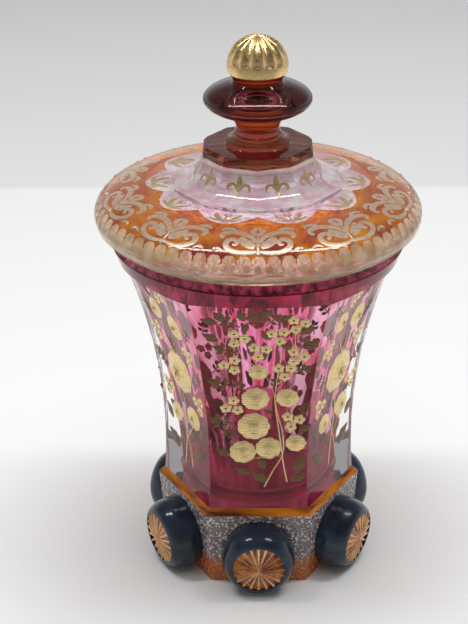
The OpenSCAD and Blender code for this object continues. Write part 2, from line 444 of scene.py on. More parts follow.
class ShaderKit:
    """Shader node groups that several finishes share, each built once."""

    # Ranges of the noise in which clouds (from their level), smears, worn patches and grain come up
    CLOUD = (-0.12, 0.12)
    SMEAR = (0.45, 0.75)
    PATCH = (0.42, 0.7)
    GRAIN = (0.3, 0.7)
    # Distances from a prick's middle, in cells, between which it fades
    PRICK = (0.32, 0.58)
    # Roughness of gilding from its smoothest to its roughest grain
    GILT_ROUGH = (0.16, 0.42)
    # Range of the wave in which engraved lines come up, and height of the grain beside them
    ENGRAVED = (0.1, 0.55)
    GRAIN_RISE = 0.3
    # Range of the cells' random shades, and of the brightness that they give
    SHADES = ((0.1, 0.8), (0.25, 1.0))
    # Noise scale of the long waves against the smears, and of the gilt grain against the patches
    WAVE = 0.4
    FINE = 6.0

    def __init__(self) -> None:
        """Builds the groups."""
        self.tone = self._tone()
        self.polish = self._polish()
        self.gilt = self._gilt()
        self.prick = self._prick()

    @staticmethod
    def _noise(pen: GroupPen, place: object, scale: object, detail: float) -> bpy.types.NodeSocket:
        """Adds noise.

        Args:
            pen: Pen of the tree.
            place: Coordinates.
            scale: Scale of the noise.
            detail: Octaves of the noise.

        Returns:
            Its value.
        """
        return pen.add("ShaderNodeTexNoise", {"Vector": place, "Scale": scale, "Detail": detail}).outputs[0]

    def _tone(self) -> bpy.types.NodeTree:
        """Group that mixes two tones in clouds, or in upright streaks where Stretch is small.

        Returns:
            The group.
        """
        inputs = {"Light": "Color", "Dark": "Color", "Scale": "Float", "Stretch": "Float", "Level": "Float"}
        pen = GroupPen("cloudy_tone", "ShaderNodeTree", inputs, {"Color": "Color"})
        source = pen.source
        shape = pen.add("ShaderNodeCombineXYZ", {"X": 1.0, "Y": 1.0, "Z": source["Stretch"]}).outputs[0]
        drawn = pen.add("ShaderNodeVectorMath", {0: pen.place(), 1: shape}, operation="MULTIPLY").outputs[0]
        cloud = self._noise(pen, drawn, source["Scale"], 3.0)
        share = pen.spread(pen.sum("SUBTRACT", cloud, source["Level"]), self.CLOUD, (0.0, 1.0))
        return pen.close(Color=pen.blend(share, source["Light"], source["Dark"]))

    def _polish(self) -> bpy.types.NodeTree:
        """Group that gives the polish of hand-cut glass: hazy smears and long waves.

        Returns:
            The group.
        """
        pen = GroupPen("hand_polish", "ShaderNodeTree",
                       {"Haze": "Float", "Smear": "Float", "Scale": "Float"},
                       {"Roughness": "Float", "Height": "Float"})
        source, place = pen.source, pen.place()
        smear = self._noise(pen, place, source["Scale"], 4.0)
        waves = self._noise(pen, place, pen.sum("MULTIPLY", source["Scale"], self.WAVE), 1.0)
        rough = pen.spread(smear, self.SMEAR, (source["Haze"], source["Smear"]))
        return pen.close(Roughness=rough, Height=waves)

    def _gilt(self) -> bpy.types.NodeTree:
        """Group that gives brushed and burnished gold: worn patches, fine grain and engraved lines.

        Returns:
            The group.
        """
        pen = GroupPen("brushed_gilding", "ShaderNodeTree",
                       {"Gold": "Color", "Worn": "Color", "Scale": "Float", "Wear": "Float",
                        "Lines": "Float", "Depth": "Float"},
                       {"Color": "Color", "Roughness": "Float", "Height": "Float"})
        source, place = pen.source, pen.place()
        patch = self._noise(pen, place, source["Scale"], 5.0)
        grain = self._noise(pen, place, pen.sum("MULTIPLY", source["Scale"], self.FINE), 2.0)
        wave = pen.add("ShaderNodeTexWave", {
            "Vector": place, "Scale": source["Lines"], "Distortion": 6.0, "Detail": 2.0, "Detail Scale": 0.6},
            wave_type="BANDS", bands_direction="Z").outputs["Fac"]
        worn = pen.spread(patch, self.PATCH, (0.0, source["Wear"]))
        line = pen.spread(wave, self.ENGRAVED, (source["Depth"], 0.0))
        colour = pen.blend(pen.sum("MAXIMUM", worn, line), source["Gold"], source["Worn"])
        low = pen.sum("MULTIPLY", grain, self.GRAIN_RISE)
        height = pen.sum("MULTIPLY_ADD", wave, source["Depth"], low)
        rough = pen.spread(grain, self.GRAIN, self.GILT_ROUGH)
        return pen.close(Color=colour, Roughness=rough, Height=height)

    def _prick(self) -> bpy.types.NodeTree:
        """Group that gives a pricked face: bright round grains that are painted glints, in a dark ground that
        is partly painted shade.

        Returns:
            The group.
        """
        pen = GroupPen("pricked_grains", "ShaderNodeTree",
                       {"Light": "Color", "Dark": "Color", "Scale": "Float"},
                       {"Color": "Color", "Height": "Float"})
        cells = pen.add("ShaderNodeTexVoronoi", {"Vector": pen.place(), "Scale": pen.source["Scale"]}).outputs
        grain = pen.spread(cells["Distance"], self.PRICK, (1.0, 0.0))
        shade = pen.add("ShaderNodeSeparateColor", {0: cells["Color"]}).outputs[0]
        share = pen.sum("MULTIPLY", grain, pen.spread(shade, *self.SHADES))
        return pen.close(Color=pen.blend(share, pen.source["Dark"], pen.source["Light"]), Height=grain)


@dataclass(frozen=True)
class CloudyFinish(ABC):
    """What all glass here shares: a cloudy tone and a polish by hand."""

    name: str
    light: Colour
    dark: Colour
    haze: float = 0.0
    smear: float = 0.03
    scale: float = 90.0
    edge: Colour | None = None
    index: float = 1.5
    stretch: float = 1.0
    level: float = 0.5
    ripple: float = 0.00004

    @abstractmethod
    def surface(self) -> dict[str, object]:
        """Shader inputs that make this kind of glass."""

    def build(self, kit: ShaderKit) -> bpy.types.Material:
        """Makes the material.

        Args:
            kit: Shared shader groups.

        Returns:
            The material.
        """
        pen = MaterialPen(self.name)
        tone = pen.use(kit.tone, Light=self.light, Dark=self.dark, Scale=self.scale, Stretch=self.stretch,
                       Level=self.level)
        polish = pen.use(kit.polish, Haze=self.haze, Smear=self.smear, Scale=self.scale)
        pen.fill(pen.shader, {"Base Color": pen.tinted(tone["Color"], self.edge),
                              "Roughness": polish["Roughness"], "IOR": self.index, **self.surface()})
        if self.ripple:
            pen.emboss(polish["Height"], self.ripple)
        return pen.material


@dataclass(frozen=True)
class GlassFinish(CloudyFinish):
    """Clear or stained glass."""

    gloss: float = 1.0

    def surface(self) -> dict[str, object]:
        """Shader inputs of glass that all light passes into."""
        return {"Transmission Weight": 1.0, "Specular Tint": (self.gloss, self.gloss, self.gloss, 1.0)}


@dataclass(frozen=True)
class EnamelFinish(CloudyFinish):
    """Overlay or stain on glass, from opaque to mostly clear."""

    ripple: float = 0.00008
    coat: float = 0.0
    coat_rough: float = 0.08
    gloss: float = 0.5
    clear: float = 0.0

    def surface(self) -> dict[str, object]:
        """Shader inputs of a lit skin that lets part of the light through."""
        return {"Coat Weight": self.coat, "Coat Roughness": self.coat_rough,
                "Specular IOR Level": self.gloss, "Transmission Weight": self.clear}


@dataclass(frozen=True)
class PrickedFinish:
    """Pricked glass face, silvery above and stained towards the table, with painted glints on its grains."""

    name: str
    light: Colour
    dark: Colour
    low_light: Colour
    low_dark: Colour
    stain_z: tuple[float, float]
    grain: float
    relief: float
    clear: float
    haze: float = 0.03
    smear: float = 0.15
    scale: float = 200.0
    ragged: float = 0.006

    def build(self, kit: ShaderKit) -> bpy.types.Material:
        """Makes the material.

        Args:
            kit: Shared shader groups.

        Returns:
            The material.
        """
        pen = MaterialPen(self.name)
        scale = 1 / (self.grain * MM)
        high = pen.use(kit.prick, Light=self.light, Dark=self.dark, Scale=scale)
        low = pen.use(kit.prick, Light=self.low_light, Dark=self.low_dark, Scale=scale)
        polish = pen.use(kit.polish, Haze=self.haze, Smear=self.smear, Scale=self.scale)
        height = pen.add("ShaderNodeSeparateXYZ", {0: pen.place()}).outputs["Z"]
        border = pen.sum("MULTIPLY_ADD", polish["Height"], self.ragged, height)
        share = pen.spread(border, tuple(z * MM for z in self.stain_z), (1.0, 0.0))
        pen.fill(pen.shader, {"Base Color": pen.blend(share, high["Color"], low["Color"]),
                              "Roughness": polish["Roughness"], "Transmission Weight": self.clear,
                              "Specular IOR Level": 1.0})
        pen.emboss(high["Height"], self.relief)
        return pen.material


@dataclass(frozen=True)
class GiltFinish:
    """Gilding, from burnished to brushed and worn."""

    name: str
    gold: Colour
    worn: Colour
    scale: float
    wear: float
    relief: float
    lines: float = 0.0
    line_depth: float = 0.0
    metal: float = 1.0

    def build(self, kit: ShaderKit) -> bpy.types.Material:
        """Makes the material.

        Args:
            kit: Shared shader groups.

        Returns:
            The material.
        """
        pen = MaterialPen(self.name)
        gilt = pen.use(kit.gilt, Gold=self.gold, Worn=self.worn, Scale=self.scale, Wear=self.wear,
                       Lines=self.lines, Depth=self.line_depth)
        pen.fill(pen.shader, {"Base Color": gilt["Color"], "Roughness": gilt["Roughness"],
                              "Metallic": self.metal})
        pen.emboss(gilt["Height"], self.relief)
        return pen.material


class Finish(Enum):
    """Finishes of the object's surfaces."""

    CLEAR = GlassFinish("clear_cut_glass", (1.0, 1.0, 1.0), (0.97, 0.975, 0.97), gloss=0.7)
    JOINT = GlassFinish("fused_joint", (1.0, 1.0, 1.0), (0.985, 0.985, 0.985), smear=0.0, index=1.0,
                        ripple=0.0)
    # The ruby's upright pale pink streaks are painted light, standing in for light seen through the back
    # panels' facets; the flash skin, made from it, carries the same painted streaks.
    RUBY = GlassFinish("ruby_glass", (1.0, 0.64, 0.84), (0.74, 0.11, 0.22), scale=170.0,
                       edge=(0.72, 0.09, 0.20), stretch=0.16, level=0.53)
    RUBY_SKIN = replace(RUBY, name="ruby_flash", smear=0.0, index=1.0, ripple=0.0)
    RUBY_FLOOR = EnamelFinish("ruby_bowl_floor", (1.0, 0.05, 0.19), (0.66, 0.012, 0.09), 0.05, 0.2, 90.0,
                              gloss=0.0, clear=0.25)
    RUBY_BASE = EnamelFinish("ruby_bowl_base", (1.0, 0.10, 0.24), (0.52, 0.01, 0.08), 0.0, 0.0, 150.0,
                             index=1.0, stretch=0.16, gloss=0.0, clear=0.5)
    RIM = EnamelFinish("ruby_rim", (0.42, 0.013, 0.06), (0.19, 0.006, 0.03), 0.0, 0.05, 150.0,
                       gloss=0.12, clear=0.5)
    # The rounded rim edge's bright pink and dark flecks are painted reflections, standing in for the cover's
    # thumb cuts mirrored there.
    RIM_EDGE = EnamelFinish("ruby_rim_edge", (0.95, 0.15, 0.33), (0.20, 0.01, 0.04), 0.0, 0.05, 420.0,
                            gloss=0.3, clear=0.5)
    # The bright grains are painted glints and the dark ground between them is partly painted shade, over
    # silvery pricked glass above and the amber stain below.
    PRICKED = PrickedFinish("pricked_foot_face", (1.0, 1.0, 1.0), (0.24, 0.155, 0.155), (1.0, 0.40, 0.04),
                            (0.58, 0.10, 0.012), stain_z=(9.5, 14.5), grain=1.1, relief=0.0003, clear=0.2)
    # On the amber stain, the ledge's horizontal bright and dark streaks are painted light and painted shade
    # along its bevel.
    LEDGE = EnamelFinish("amber_ledge", (1.0, 0.32, 0.008), (0.16, 0.028, 0.012), 0.0, 0.06, 60.0,
                         stretch=9.0, gloss=0.3, clear=0.3)
    SLATE = EnamelFinish("slate_overlay", (0.022, 0.034, 0.060), (0.009, 0.015, 0.027), 0.16, 0.34, 120.0,
                         coat=0.25, gloss=0.3)
    STAR = EnamelFinish("amber_star", (0.74, 0.24, 0.04), (0.22, 0.03, 0.02), 0.08, 0.25, 240.0, coat=0.7)
    # The pink clouds in the neck and petals are a painted reflection of the ruby bowl below.
    BLUSH = EnamelFinish("blush_neck_glass", (1.0, 0.95, 0.97), (0.95, 0.62, 0.76), 0.0, 0.03, 190.0,
                         clear=0.6)
    LIP = EnamelFinish("stained_lip", (0.96, 0.72, 0.46), (0.68, 0.42, 0.22), 0.05, 0.2, 200.0,
                       coat=0.3, clear=0.5)
    # The dome's amber stain is real; its dark maroon clouds are painted shade, standing in for shadows of the
    # gilding seen through the glass, and its darker edge colour is painted shade on the dome's sides.
    STAIN = EnamelFinish("amber_stain", (1.0, 0.36, 0.006), (0.34, 0.05, 0.03), 0.0, 0.02, 110.0,
                         edge=(0.60, 0.16, 0.04), gloss=0.35, clear=0.55)
    AMBER = GlassFinish("amber_glass", (0.44, 0.06, 0.012), (0.26, 0.03, 0.01), edge=(0.10, 0.012, 0.01),
                        gloss=0.6)
    COLLAR = GlassFinish("amber_collar", (0.44, 0.085, 0.018), (0.24, 0.04, 0.012), edge=(0.12, 0.02, 0.012),
                         gloss=0.4)
    # The knop's near-black edge colour is painted shade on the disc's sides, where no light comes through
    # from the stem.
    KNOP = GlassFinish("dark_amber_knop", (0.16, 0.02, 0.012), (0.08, 0.01, 0.01), edge=(0.012, 0.006, 0.01),
                       gloss=0.6)
    RIDGE = GiltFinish("star_ridge_gold", (0.74, 0.52, 0.25), (0.36, 0.19, 0.07), 220.0, 0.7, 0.00001)
    GOLD = GiltFinish("burnished_gold", (0.88, 0.62, 0.30), (0.60, 0.38, 0.16), 160.0, 0.3, 0.0)
    BLOSSOM = GiltFinish("blossom_gold", (0.96, 0.74, 0.37), (0.52, 0.36, 0.15), 500.0, 0.6, 0.00004,
                         lines=330.0, line_depth=0.6, metal=0.8)
    LEAF = GiltFinish("leaf_gold", (0.20, 0.12, 0.065), (0.10, 0.055, 0.035), 900.0, 0.8, 0.00004,
                      lines=300.0, line_depth=0.6)
    LILY = GiltFinish("lily_gold", (0.50, 0.36, 0.18), (0.32, 0.21, 0.10), 600.0, 0.6, 0.00003, metal=0.45)
    LACE = GiltFinish("lace_gold", (0.56, 0.41, 0.30), (0.34, 0.23, 0.16), 900.0, 0.7, 0.00003, metal=0.45)


class FinishBook:
    """Makes each finish's material once."""

    def __init__(self) -> None:
        """Starts an empty book."""
        self.kit = ShaderKit()
        self.made: dict[Finish, bpy.types.Material] = {}

    def __getitem__(self, finish: Finish) -> bpy.types.Material:
        """The material of a finish."""
        if finish not in self.made:
            self.made[finish] = finish.value.build(self.kit)
        return self.made[finish]


@dataclass
class Dresser:
    """Gives finished pieces their materials and bodies, and reports them."""

    book: FinishBook

    def dress(self, obj: bpy.types.Object, finishes: list[Finish], body: Body, slot: Slot,
              stands_for: tuple[str, ...] = ()) -> None:
        """Finishes a piece.

        Args:
            obj: The piece.
            finishes: Finish of each face number.
            body: CAD body that it rides on.
            slot: Slot of the record; not used.
            stands_for: CAD nodes that it replaces.
        """
        if not obj.data.materials:
            for finish in finishes:
                obj.data.materials.append(self.book[finish])
        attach(obj, body.value)
        if stands_for:
            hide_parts(*stands_for)
        log.info("%s on %s: %d faces", obj.name, body.value, len(obj.data.polygons))


class NodeWork:
    """Geometry Nodes trees that repeat and scatter motifs, sweep lines and stipple faces."""

    STROKE_SIDES = 6
    # Range of distances from a pit's middle, in cells, and of heights there as shares of its depth
    PITS = ((0.1, 0.75), (-1.0, 0.4))

    def __init__(self, book: FinishBook) -> None:
        """Builds the trees.

        Args:
            book: Materials by finish.
        """
        self.book = book
        self.ring = self._ring()
        self.motifs = self._motifs()
        self.lines = self._lines()
        self.stipple = self._stipple()

    @staticmethod
    def _start(name: str, **inputs: str) -> GroupPen:
        """Starts a tree that takes and gives geometry.

        Args:
            name: Name of the tree.
            inputs: Further inputs with their socket types.

        Returns:
            Its pen.
        """
        sockets = {"Geometry": "Geometry", **inputs}
        return GroupPen(name, "GeometryNodeTree", sockets, {"Geometry": "Geometry"})

    @staticmethod
    def _marked(pen: GroupPen, name: str, kind: str = "FLOAT") -> bpy.types.NodeSocket:
        """Adds an attribute of the input geometry."""
        return pen.add("GeometryNodeInputNamedAttribute", {"Name": name}, data_type=kind).outputs[0]

    def _end(self, pen: GroupPen, geometry: bpy.types.NodeSocket,
             zones: tuple[str, ...] = ()) -> bpy.types.NodeTree:
        """Ends a tree with a real mesh and its materials.

        Args:
            pen: Pen of the tree, which has an input Material and one for each zone.
            geometry: What the tree has made.
            zones: Materials of the faces that are marked with their name in small letters.

        Returns:
            The tree.
        """
        real = pen.add("GeometryNodeRealizeInstances", {"Geometry": geometry})
        inputs = {"Geometry": real.outputs[0], "Material": pen.source["Material"]}
        done = pen.add("GeometryNodeSetMaterial", inputs)
        for zone in zones:
            done = pen.add("GeometryNodeSetMaterial", {
                "Geometry": done.outputs[0], "Selection": self._marked(pen, zone.lower(), "BOOLEAN"),
                "Material": pen.source[zone]})
        return pen.close(Geometry=done.outputs[0])

    @staticmethod
    def _around(pen: GroupPen, geometry: bpy.types.NodeSocket) -> bpy.types.NodeSocket:
        """Repeats geometry around the axis.

        Args:
            pen: Pen of a tree with the inputs Count and Start.
            geometry: What is repeated.

        Returns:
            The copies.
        """
        one = pen.add("GeometryNodeGeometryToInstance", {0: geometry})
        many = pen.add("GeometryNodeDuplicateElements",
                       {"Geometry": one.outputs[0], "Amount": pen.source["Count"]}, domain="INSTANCE")
        step = pen.sum("DIVIDE", 2 * math.pi, pen.source["Count"])
        turn = pen.sum("MULTIPLY_ADD", many.outputs[1], step, pen.source["Start"])
        euler = pen.add("ShaderNodeCombineXYZ", {"Z": turn})
        inputs = {"Instances": many.outputs[0], "Rotation": euler.outputs[0], "Local Space": False}
        return pen.add("GeometryNodeRotateInstances", inputs).outputs[0]

    def _ring(self) -> bpy.types.NodeTree:
        """Tree that sets copies of the input around the axis."""
        pen = self._start("set_around", Count="Int", Start="Float", Material="Material")
        return self._end(pen, self._around(pen, pen.source["Geometry"]))

    def _motifs(self) -> bpy.types.NodeTree:
        """Tree that sets a motif on each input point, turned and sized by its attributes.

        Returns:
            The tree.
        """
        pen = self._start("set_motifs", Motif="Object", Count="Int", Start="Float", Material="Material")
        motif = pen.add("GeometryNodeObjectInfo", {"Object": pen.source["Motif"]})
        set_out = pen.add("GeometryNodeInstanceOnPoints", {
            "Points": pen.source["Geometry"], "Instance": motif.outputs["Geometry"],
            "Rotation": self._marked(pen, "turn", "FLOAT_VECTOR"), "Scale": self._marked(pen, "size")})
        real = pen.add("GeometryNodeRealizeInstances", {"Geometry": set_out.outputs[0]})
        return self._end(pen, self._around(pen, real.outputs[0]))

    def _lines(self) -> bpy.types.NodeTree:
        """Tree that sweeps a round stroke along the input's edges, as wide as their attribute says.

        Returns:
            The tree.
        """
        pen = self._start("draw_lines", Sides="Int", Count="Int", Start="Float", Material="Material")
        curve = pen.add("GeometryNodeMeshToCurve", {"Mesh": pen.source["Geometry"]})
        stroke = pen.add("GeometryNodeCurvePrimitiveCircle",
                         {"Resolution": pen.source["Sides"], "Radius": 1.0})
        sweep = pen.add("GeometryNodeCurveToMesh", {
            "Curve": curve.outputs[0], "Profile Curve": stroke.outputs[0],
            "Scale": self._marked(pen, "width"), "Fill Caps": True})
        return self._end(pen, self._around(pen, sweep.outputs[0]))

    def _stipple(self) -> bpy.types.NodeTree:
        """Tree that pricks the marked faces with small round pits.

        Returns:
            The tree.
        """
        pen = self._start("stipple_faces", Pit="Float", Depth="Float", Seed="Float", Material="Material",
                          Joint="Material", Ledge="Material")
        place = pen.add("GeometryNodeInputPosition")
        scale = pen.sum("DIVIDE", 1.0, pen.source["Pit"])
        cells = pen.add("ShaderNodeTexVoronoi", {
            "Vector": place.outputs[0], "W": pen.source["Seed"], "Scale": scale},
            voronoi_dimensions="4D", feature="F1")
        rise = pen.spread(cells.outputs["Distance"], *self.PITS)
        depth = pen.sum("MULTIPLY", rise, pen.source["Depth"])
        height = pen.sum("MULTIPLY", depth, self._marked(pen, "stipple"))
        normal = pen.add("GeometryNodeInputNormal")
        offset = pen.add("ShaderNodeVectorMath", {0: normal.outputs[0], "Scale": height}, operation="SCALE")
        inputs = {"Geometry": pen.source["Geometry"], "Offset": offset.outputs[0]}
        moved = pen.add("GeometryNodeSetPosition", inputs)
        return self._end(pen, moved.outputs[0], ("Joint", "Ledge"))

    @staticmethod
    def run(obj: bpy.types.Object, tree: bpy.types.NodeTree, **inputs: object) -> bpy.types.Object:
        """Runs a tree on an object and keeps the result as its plain mesh.

        Args:
            obj: Object that holds the input geometry.
            tree: The tree.
            inputs: Values of the tree's inputs by name.

        Returns:
            The same object.
        """
        modifier = obj.modifiers.new(tree.name, "NODES")
        modifier.node_group = tree
        sockets = {s.name: s.identifier for s in tree.interface.items_tree if s.in_out == "INPUT"}
        for name, value in inputs.items():
            modifier[sockets[name]] = value
        bpy.context.view_layer.update()
        graph = bpy.context.evaluated_depsgraph_get()
        mesh = bpy.data.meshes.new_from_object(obj.evaluated_get(graph), depsgraph=graph)
        obj.modifiers.clear()
        obj.data = mesh
        mesh.name = obj.name
        return obj

    def scatter(self, name: str, motif: Skin, places: list["Place"], finish: Finish,
                count: int = 1, start: float = 0.0) -> bpy.types.Object:
        """Sets a motif on several places, repeated around the axis.

        Args:
            name: Name of the piece.
            motif: The motif, flat on its XY plane.
            places: Where it goes.
            finish: Its finish.
            count: Copies around the axis.
            start: Azimuth of the first copy.

        Returns:
            The piece.
        """
        pattern = motif.to_object(name + "_motif")
        mesh = bpy.data.meshes.new(name)
        mesh.from_pydata([tuple(p.point * MM) for p in places], [], [])
        mark(mesh, "turn", [p.euler() for p in places], "FLOAT_VECTOR")
        mark(mesh, "size", [p.size for p in places])
        obj = self.run(link(name, mesh), self.motifs, Motif=pattern, Count=count,
                       Start=math.radians(start), Material=self.book[finish])
        bpy.data.objects.remove(pattern)
        return obj

    def draw(self, name: str, lines: list[tuple[Array, Array, bool]], finish: Finish,
             count: int = 1, start: float = 0.0) -> bpy.types.Object:
        """Draws lines on a surface, repeated around the axis.

        Args:
            name: Name of the piece.
            lines: Points, half widths and whether it closes, for each line.
            finish: Its finish.
            count: Copies around the axis.
            start: Azimuth of the first copy.

        Returns:
            The piece.
        """
        points, widths, edges = [], [], []
        for line, width, closed in lines:
            first = sum(len(p) for p in points)
            last = first + len(line) - 1
            edges += [(k, k + 1) for k in range(first, last)] + ([(last, first)] if closed else [])
            points.append(line)
            widths.append(np.broadcast_to(width, len(line)))
        mesh = bpy.data.meshes.new(name)
        mesh.from_pydata((np.vstack(points) * MM).tolist(), edges, [])
        mark(mesh, "width", np.concatenate(widths) * MM)
        obj = self.run(link(name, mesh), self.lines, Sides=self.STROKE_SIDES, Count=count,
                       Start=math.radians(start), Material=self.book[finish])
        obj.data.shade_smooth()
        return obj

    def repeat(self, obj: bpy.types.Object, finish: Finish, count: int,
               start: float = 0.0) -> bpy.types.Object:
        """Repeats an object's mesh around the axis.

        Args:
            obj: The object.
            finish: Its finish.
            count: Number of copies.
            start: Azimuth of the first copy.

        Returns:
            The same object.
        """
        return self.run(obj, self.ring, Count=count, Start=math.radians(start), Material=self.book[finish])


@dataclass
class Place:
    """A place on a surface where a motif lies."""

    point: Array
    normal: Array
    up: Array
    turn: float = 0.0
    size: float = 1.0

    def euler(self) -> tuple[float, float, float]:
        """Turn of the motif as an Euler angle.

        Returns:
            Turns about X, Y and Z in radians.
        """
        n = Vector(self.normal).normalized()
        side = Vector(self.up).cross(n).normalized()
        up = n.cross(side)
        frame_here = Matrix((side, up, n)).transposed()
        return tuple((frame_here @ Matrix.Rotation(math.radians(self.turn), 3, "Z")).to_euler())


class Motif:
    """Small closed forms of raised gilding, flat on the XY plane."""

    SINK = 0.04
    # Size of a dome's crown and of a ribbon's flat top, as shares of their outlines
    CROWN = 0.55
    FLAT = 0.8
    PETAL_POINTS = 4
    # Width of a leaf in the notches of its edge, as a share of the full width
    NOTCH = 0.84

    @classmethod
    def dome(cls, outline: Array, rise: float, dimple: float = 1.0) -> Skin:
        """Raises an outline into a low closed dome.

        Args:
            outline: Points of the outline round the origin.
            rise: Height of the dome.
            dimple: Height of its middle, as a share of the rise.

        Returns:
            The dome.
        """
        flat = np.column_stack((outline, np.zeros(len(outline))))
        inner = flat * cls.CROWN
        inner[:, 2] = rise
        return Skin.over([pole(-cls.SINK), flat, inner, pole(rise * dimple)])

    @classmethod
    def lobes(cls, radius: float, count: int, cut: float, rise: float, turn: float = 0.0,
              dimple: float = 0.4) -> Skin:
        """A flower of round petals.

        Args:
            radius: Radius of the flower.
            count: Number of petals.
            cut: Depth of the cuts between petals, as a share of the radius.
            rise: Height of the petals.
            turn: Turn of the flower.
            dimple: Height of its middle, as a share of the rise.

        Returns:
            The flower.
        """
        points = count * cls.PETAL_POINTS
        a = np.radians(np.arange(points) * 360 / points)
        r = radius * (1 - cut * (1 - np.abs(np.cos(a * count / 2))))
        a = a + math.radians(turn)
        return cls.dome(np.column_stack((r * np.cos(a), r * np.sin(a))), rise, dimple)

    @classmethod
    def rose(cls) -> Skin:
        """A full rose of one millimetre radius: three turns of petals and a bud."""
        layers = [(1.0, 9, 0.07, 0.10, 0.0), (0.74, 7, 0.10, 0.16, 20.0), (0.48, 5, 0.15, 0.22, 50.0),
                  (0.22, 5, 0.1, 0.27, 0.0)]
        return Skin.joined([cls.lobes(r, n, cut, rise, turn, 0.9) for r, n, cut, rise, turn in layers])

    @classmethod
    def leaf(cls, points: int = 12, wide: float = 0.5) -> Skin:
        """A pointed leaf of one millimetre half length along Y, with a notched edge.

        Args:
            points: Points of its outline.
            wide: Half width.

        Returns:
            The leaf.
        """
        t = np.linspace(0, 2 * np.pi, points, endpoint=False)
        y = np.sin(t)
        notch = np.where(np.arange(points) % 2, cls.NOTCH, 1.0)
        # Broader below, and drawn in to a point at both ends
        x = wide * np.cos(t) * (1 - 0.3 * y) * np.sqrt(1 - 0.6 * np.abs(y)) * 1.2 * notch
        return cls.dome(np.column_stack((x, y)), rise=0.06, dimple=0.2)

    @classmethod
    def sprig(cls) -> Skin:
        """A rose leaf of one millimetre half length along Y: five leaflets on a stalk.

        Returns:
            The leaf.
        """
        leaflet = cls.leaf(8, 0.55)
        skins = []
        for x, y, turn, size in ((0.0, 0.62, 0, 0.42), (0.36, 0.3, -55, 0.36), (-0.36, 0.3, 55, 0.36),
                                 (0.34, -0.28, -65, 0.32), (-0.34, -0.28, 65, 0.32)):
            turned = Matrix.Rotation(math.radians(turn), 4, "Z") @ Matrix.Scale(size, 4)
            skins.append(leaflet.moved(Matrix.Translation((x, y, 0)) @ turned))
        stalk = np.column_stack((np.zeros(5), np.linspace(-1, 0.4, 5), np.zeros(5)))
        up = np.tile((0.0, 0.0, 1.0), (5, 1))
        return Skin.joined([*skins, cls.ribbon(stalk, up, np.full(5, 0.05), 0.04, 0.02)])

    @classmethod
    def bead(cls, sides: int = 10) -> Skin:
        """A round bead of one millimetre radius."""
        a = np.radians(np.arange(sides) * 360 / sides)
        return cls.dome(np.column_stack((np.cos(a), np.sin(a))), 0.35)

    @classmethod
    def ribbon(cls, line: Array, normals: Array, widths: Array, rise: float, sink: float = 0.05) -> Skin:
        """A flat tapering stroke that lies on a surface.

        Args:
            line: Points along the stroke.
            normals: Surface normal at each point.
            widths: Half width at each point.
            rise: Height of the stroke's crown.
            sink: Depth of its underside below the surface.

        Returns:
            The closed stroke.
        """
        along = np.gradient(line, axis=0)
        side = np.cross(along, normals)
        side /= np.linalg.norm(side, axis=1)[:, None]
        rings = []
        for p, s, n in zip(line, side * widths[:, None], normals):
            flat, crown = s * cls.FLAT, n * rise
            rings.append(np.stack((p - s, p - flat + crown, p + flat + crown, p + s, p - n * sink)))
        return Skin.over([rings[0].mean(0, keepdims=True), *rings, rings[-1].mean(0, keepdims=True)])


@dataclass
class Wheel:
    """The big wheel that hollows the six panels."""

    waist_flat: float = 28.75
    wheel_r: float = 208.0
    waist_z: float = 44.0

    def wall(self, z: Array | float, depth: float = 0.0) -> Array | float:
        """Distance from the axis to the hollowed wall.

        Args:
            z: Height.
            depth: Depth inside the panels.

        Returns:
            The distance.
        """
        return self.waist_flat + self.wheel_r - np.sqrt((self.wheel_r + depth) ** 2 - (z - self.waist_z) ** 2)

    def place(self, u: float, z: float, turn: float = 0.0, size: float = 1.0) -> Place:
        """A place on the front panel.

        Args:
            u: Distance from the panel's middle line.
            z: Height.
            turn: Turn of a motif there.
            size: Size of a motif there.

        Returns:
            The place.
        """
        rise = (z - self.waist_z) / math.sqrt(self.wheel_r**2 - (z - self.waist_z) ** 2)
        normal = np.array([0.0, -1.0, -rise])
        return Place(np.array([u, -self.wall(z), z]), normal, np.array([0.0, -rise, 1.0]), turn, size)


@dataclass
class HexRing:
    """Cross-section with six flat sides and slightly rounded corners."""

    flat_columns: int = 17
    edge_columns: int = 5
    edge_r: float = 0.5

    def around(self, apothem: float) -> tuple[Array, Array]:
        """Azimuths and radii of the section's points.

        Args:
            apothem: Distance from the axis to a side.

        Returns:
            Azimuths and radii.
        """
        centre = (apothem - self.edge_r) / math.cos(math.pi / 6)
        half = centre / 2
        flat = np.arctan2(np.linspace(-half, half, self.flat_columns), apothem)
        share = np.arange(1, self.edge_columns + 1) / (self.edge_columns + 1)
        edge = flat[-1] + (math.pi / 3 - 2 * flat[-1]) * share
        off = edge - math.pi / 6
        edge_radius = centre * np.cos(off) + np.sqrt(self.edge_r**2 - (centre * np.sin(off)) ** 2)
        azimuth = np.degrees(np.concatenate((flat, edge)))
        radius = np.concatenate((apothem / np.cos(flat), edge_radius))
        turns = np.repeat(np.arange(6) * 60.0, len(azimuth))
        return turns + np.tile(azimuth, 6), np.tile(radius, 6)


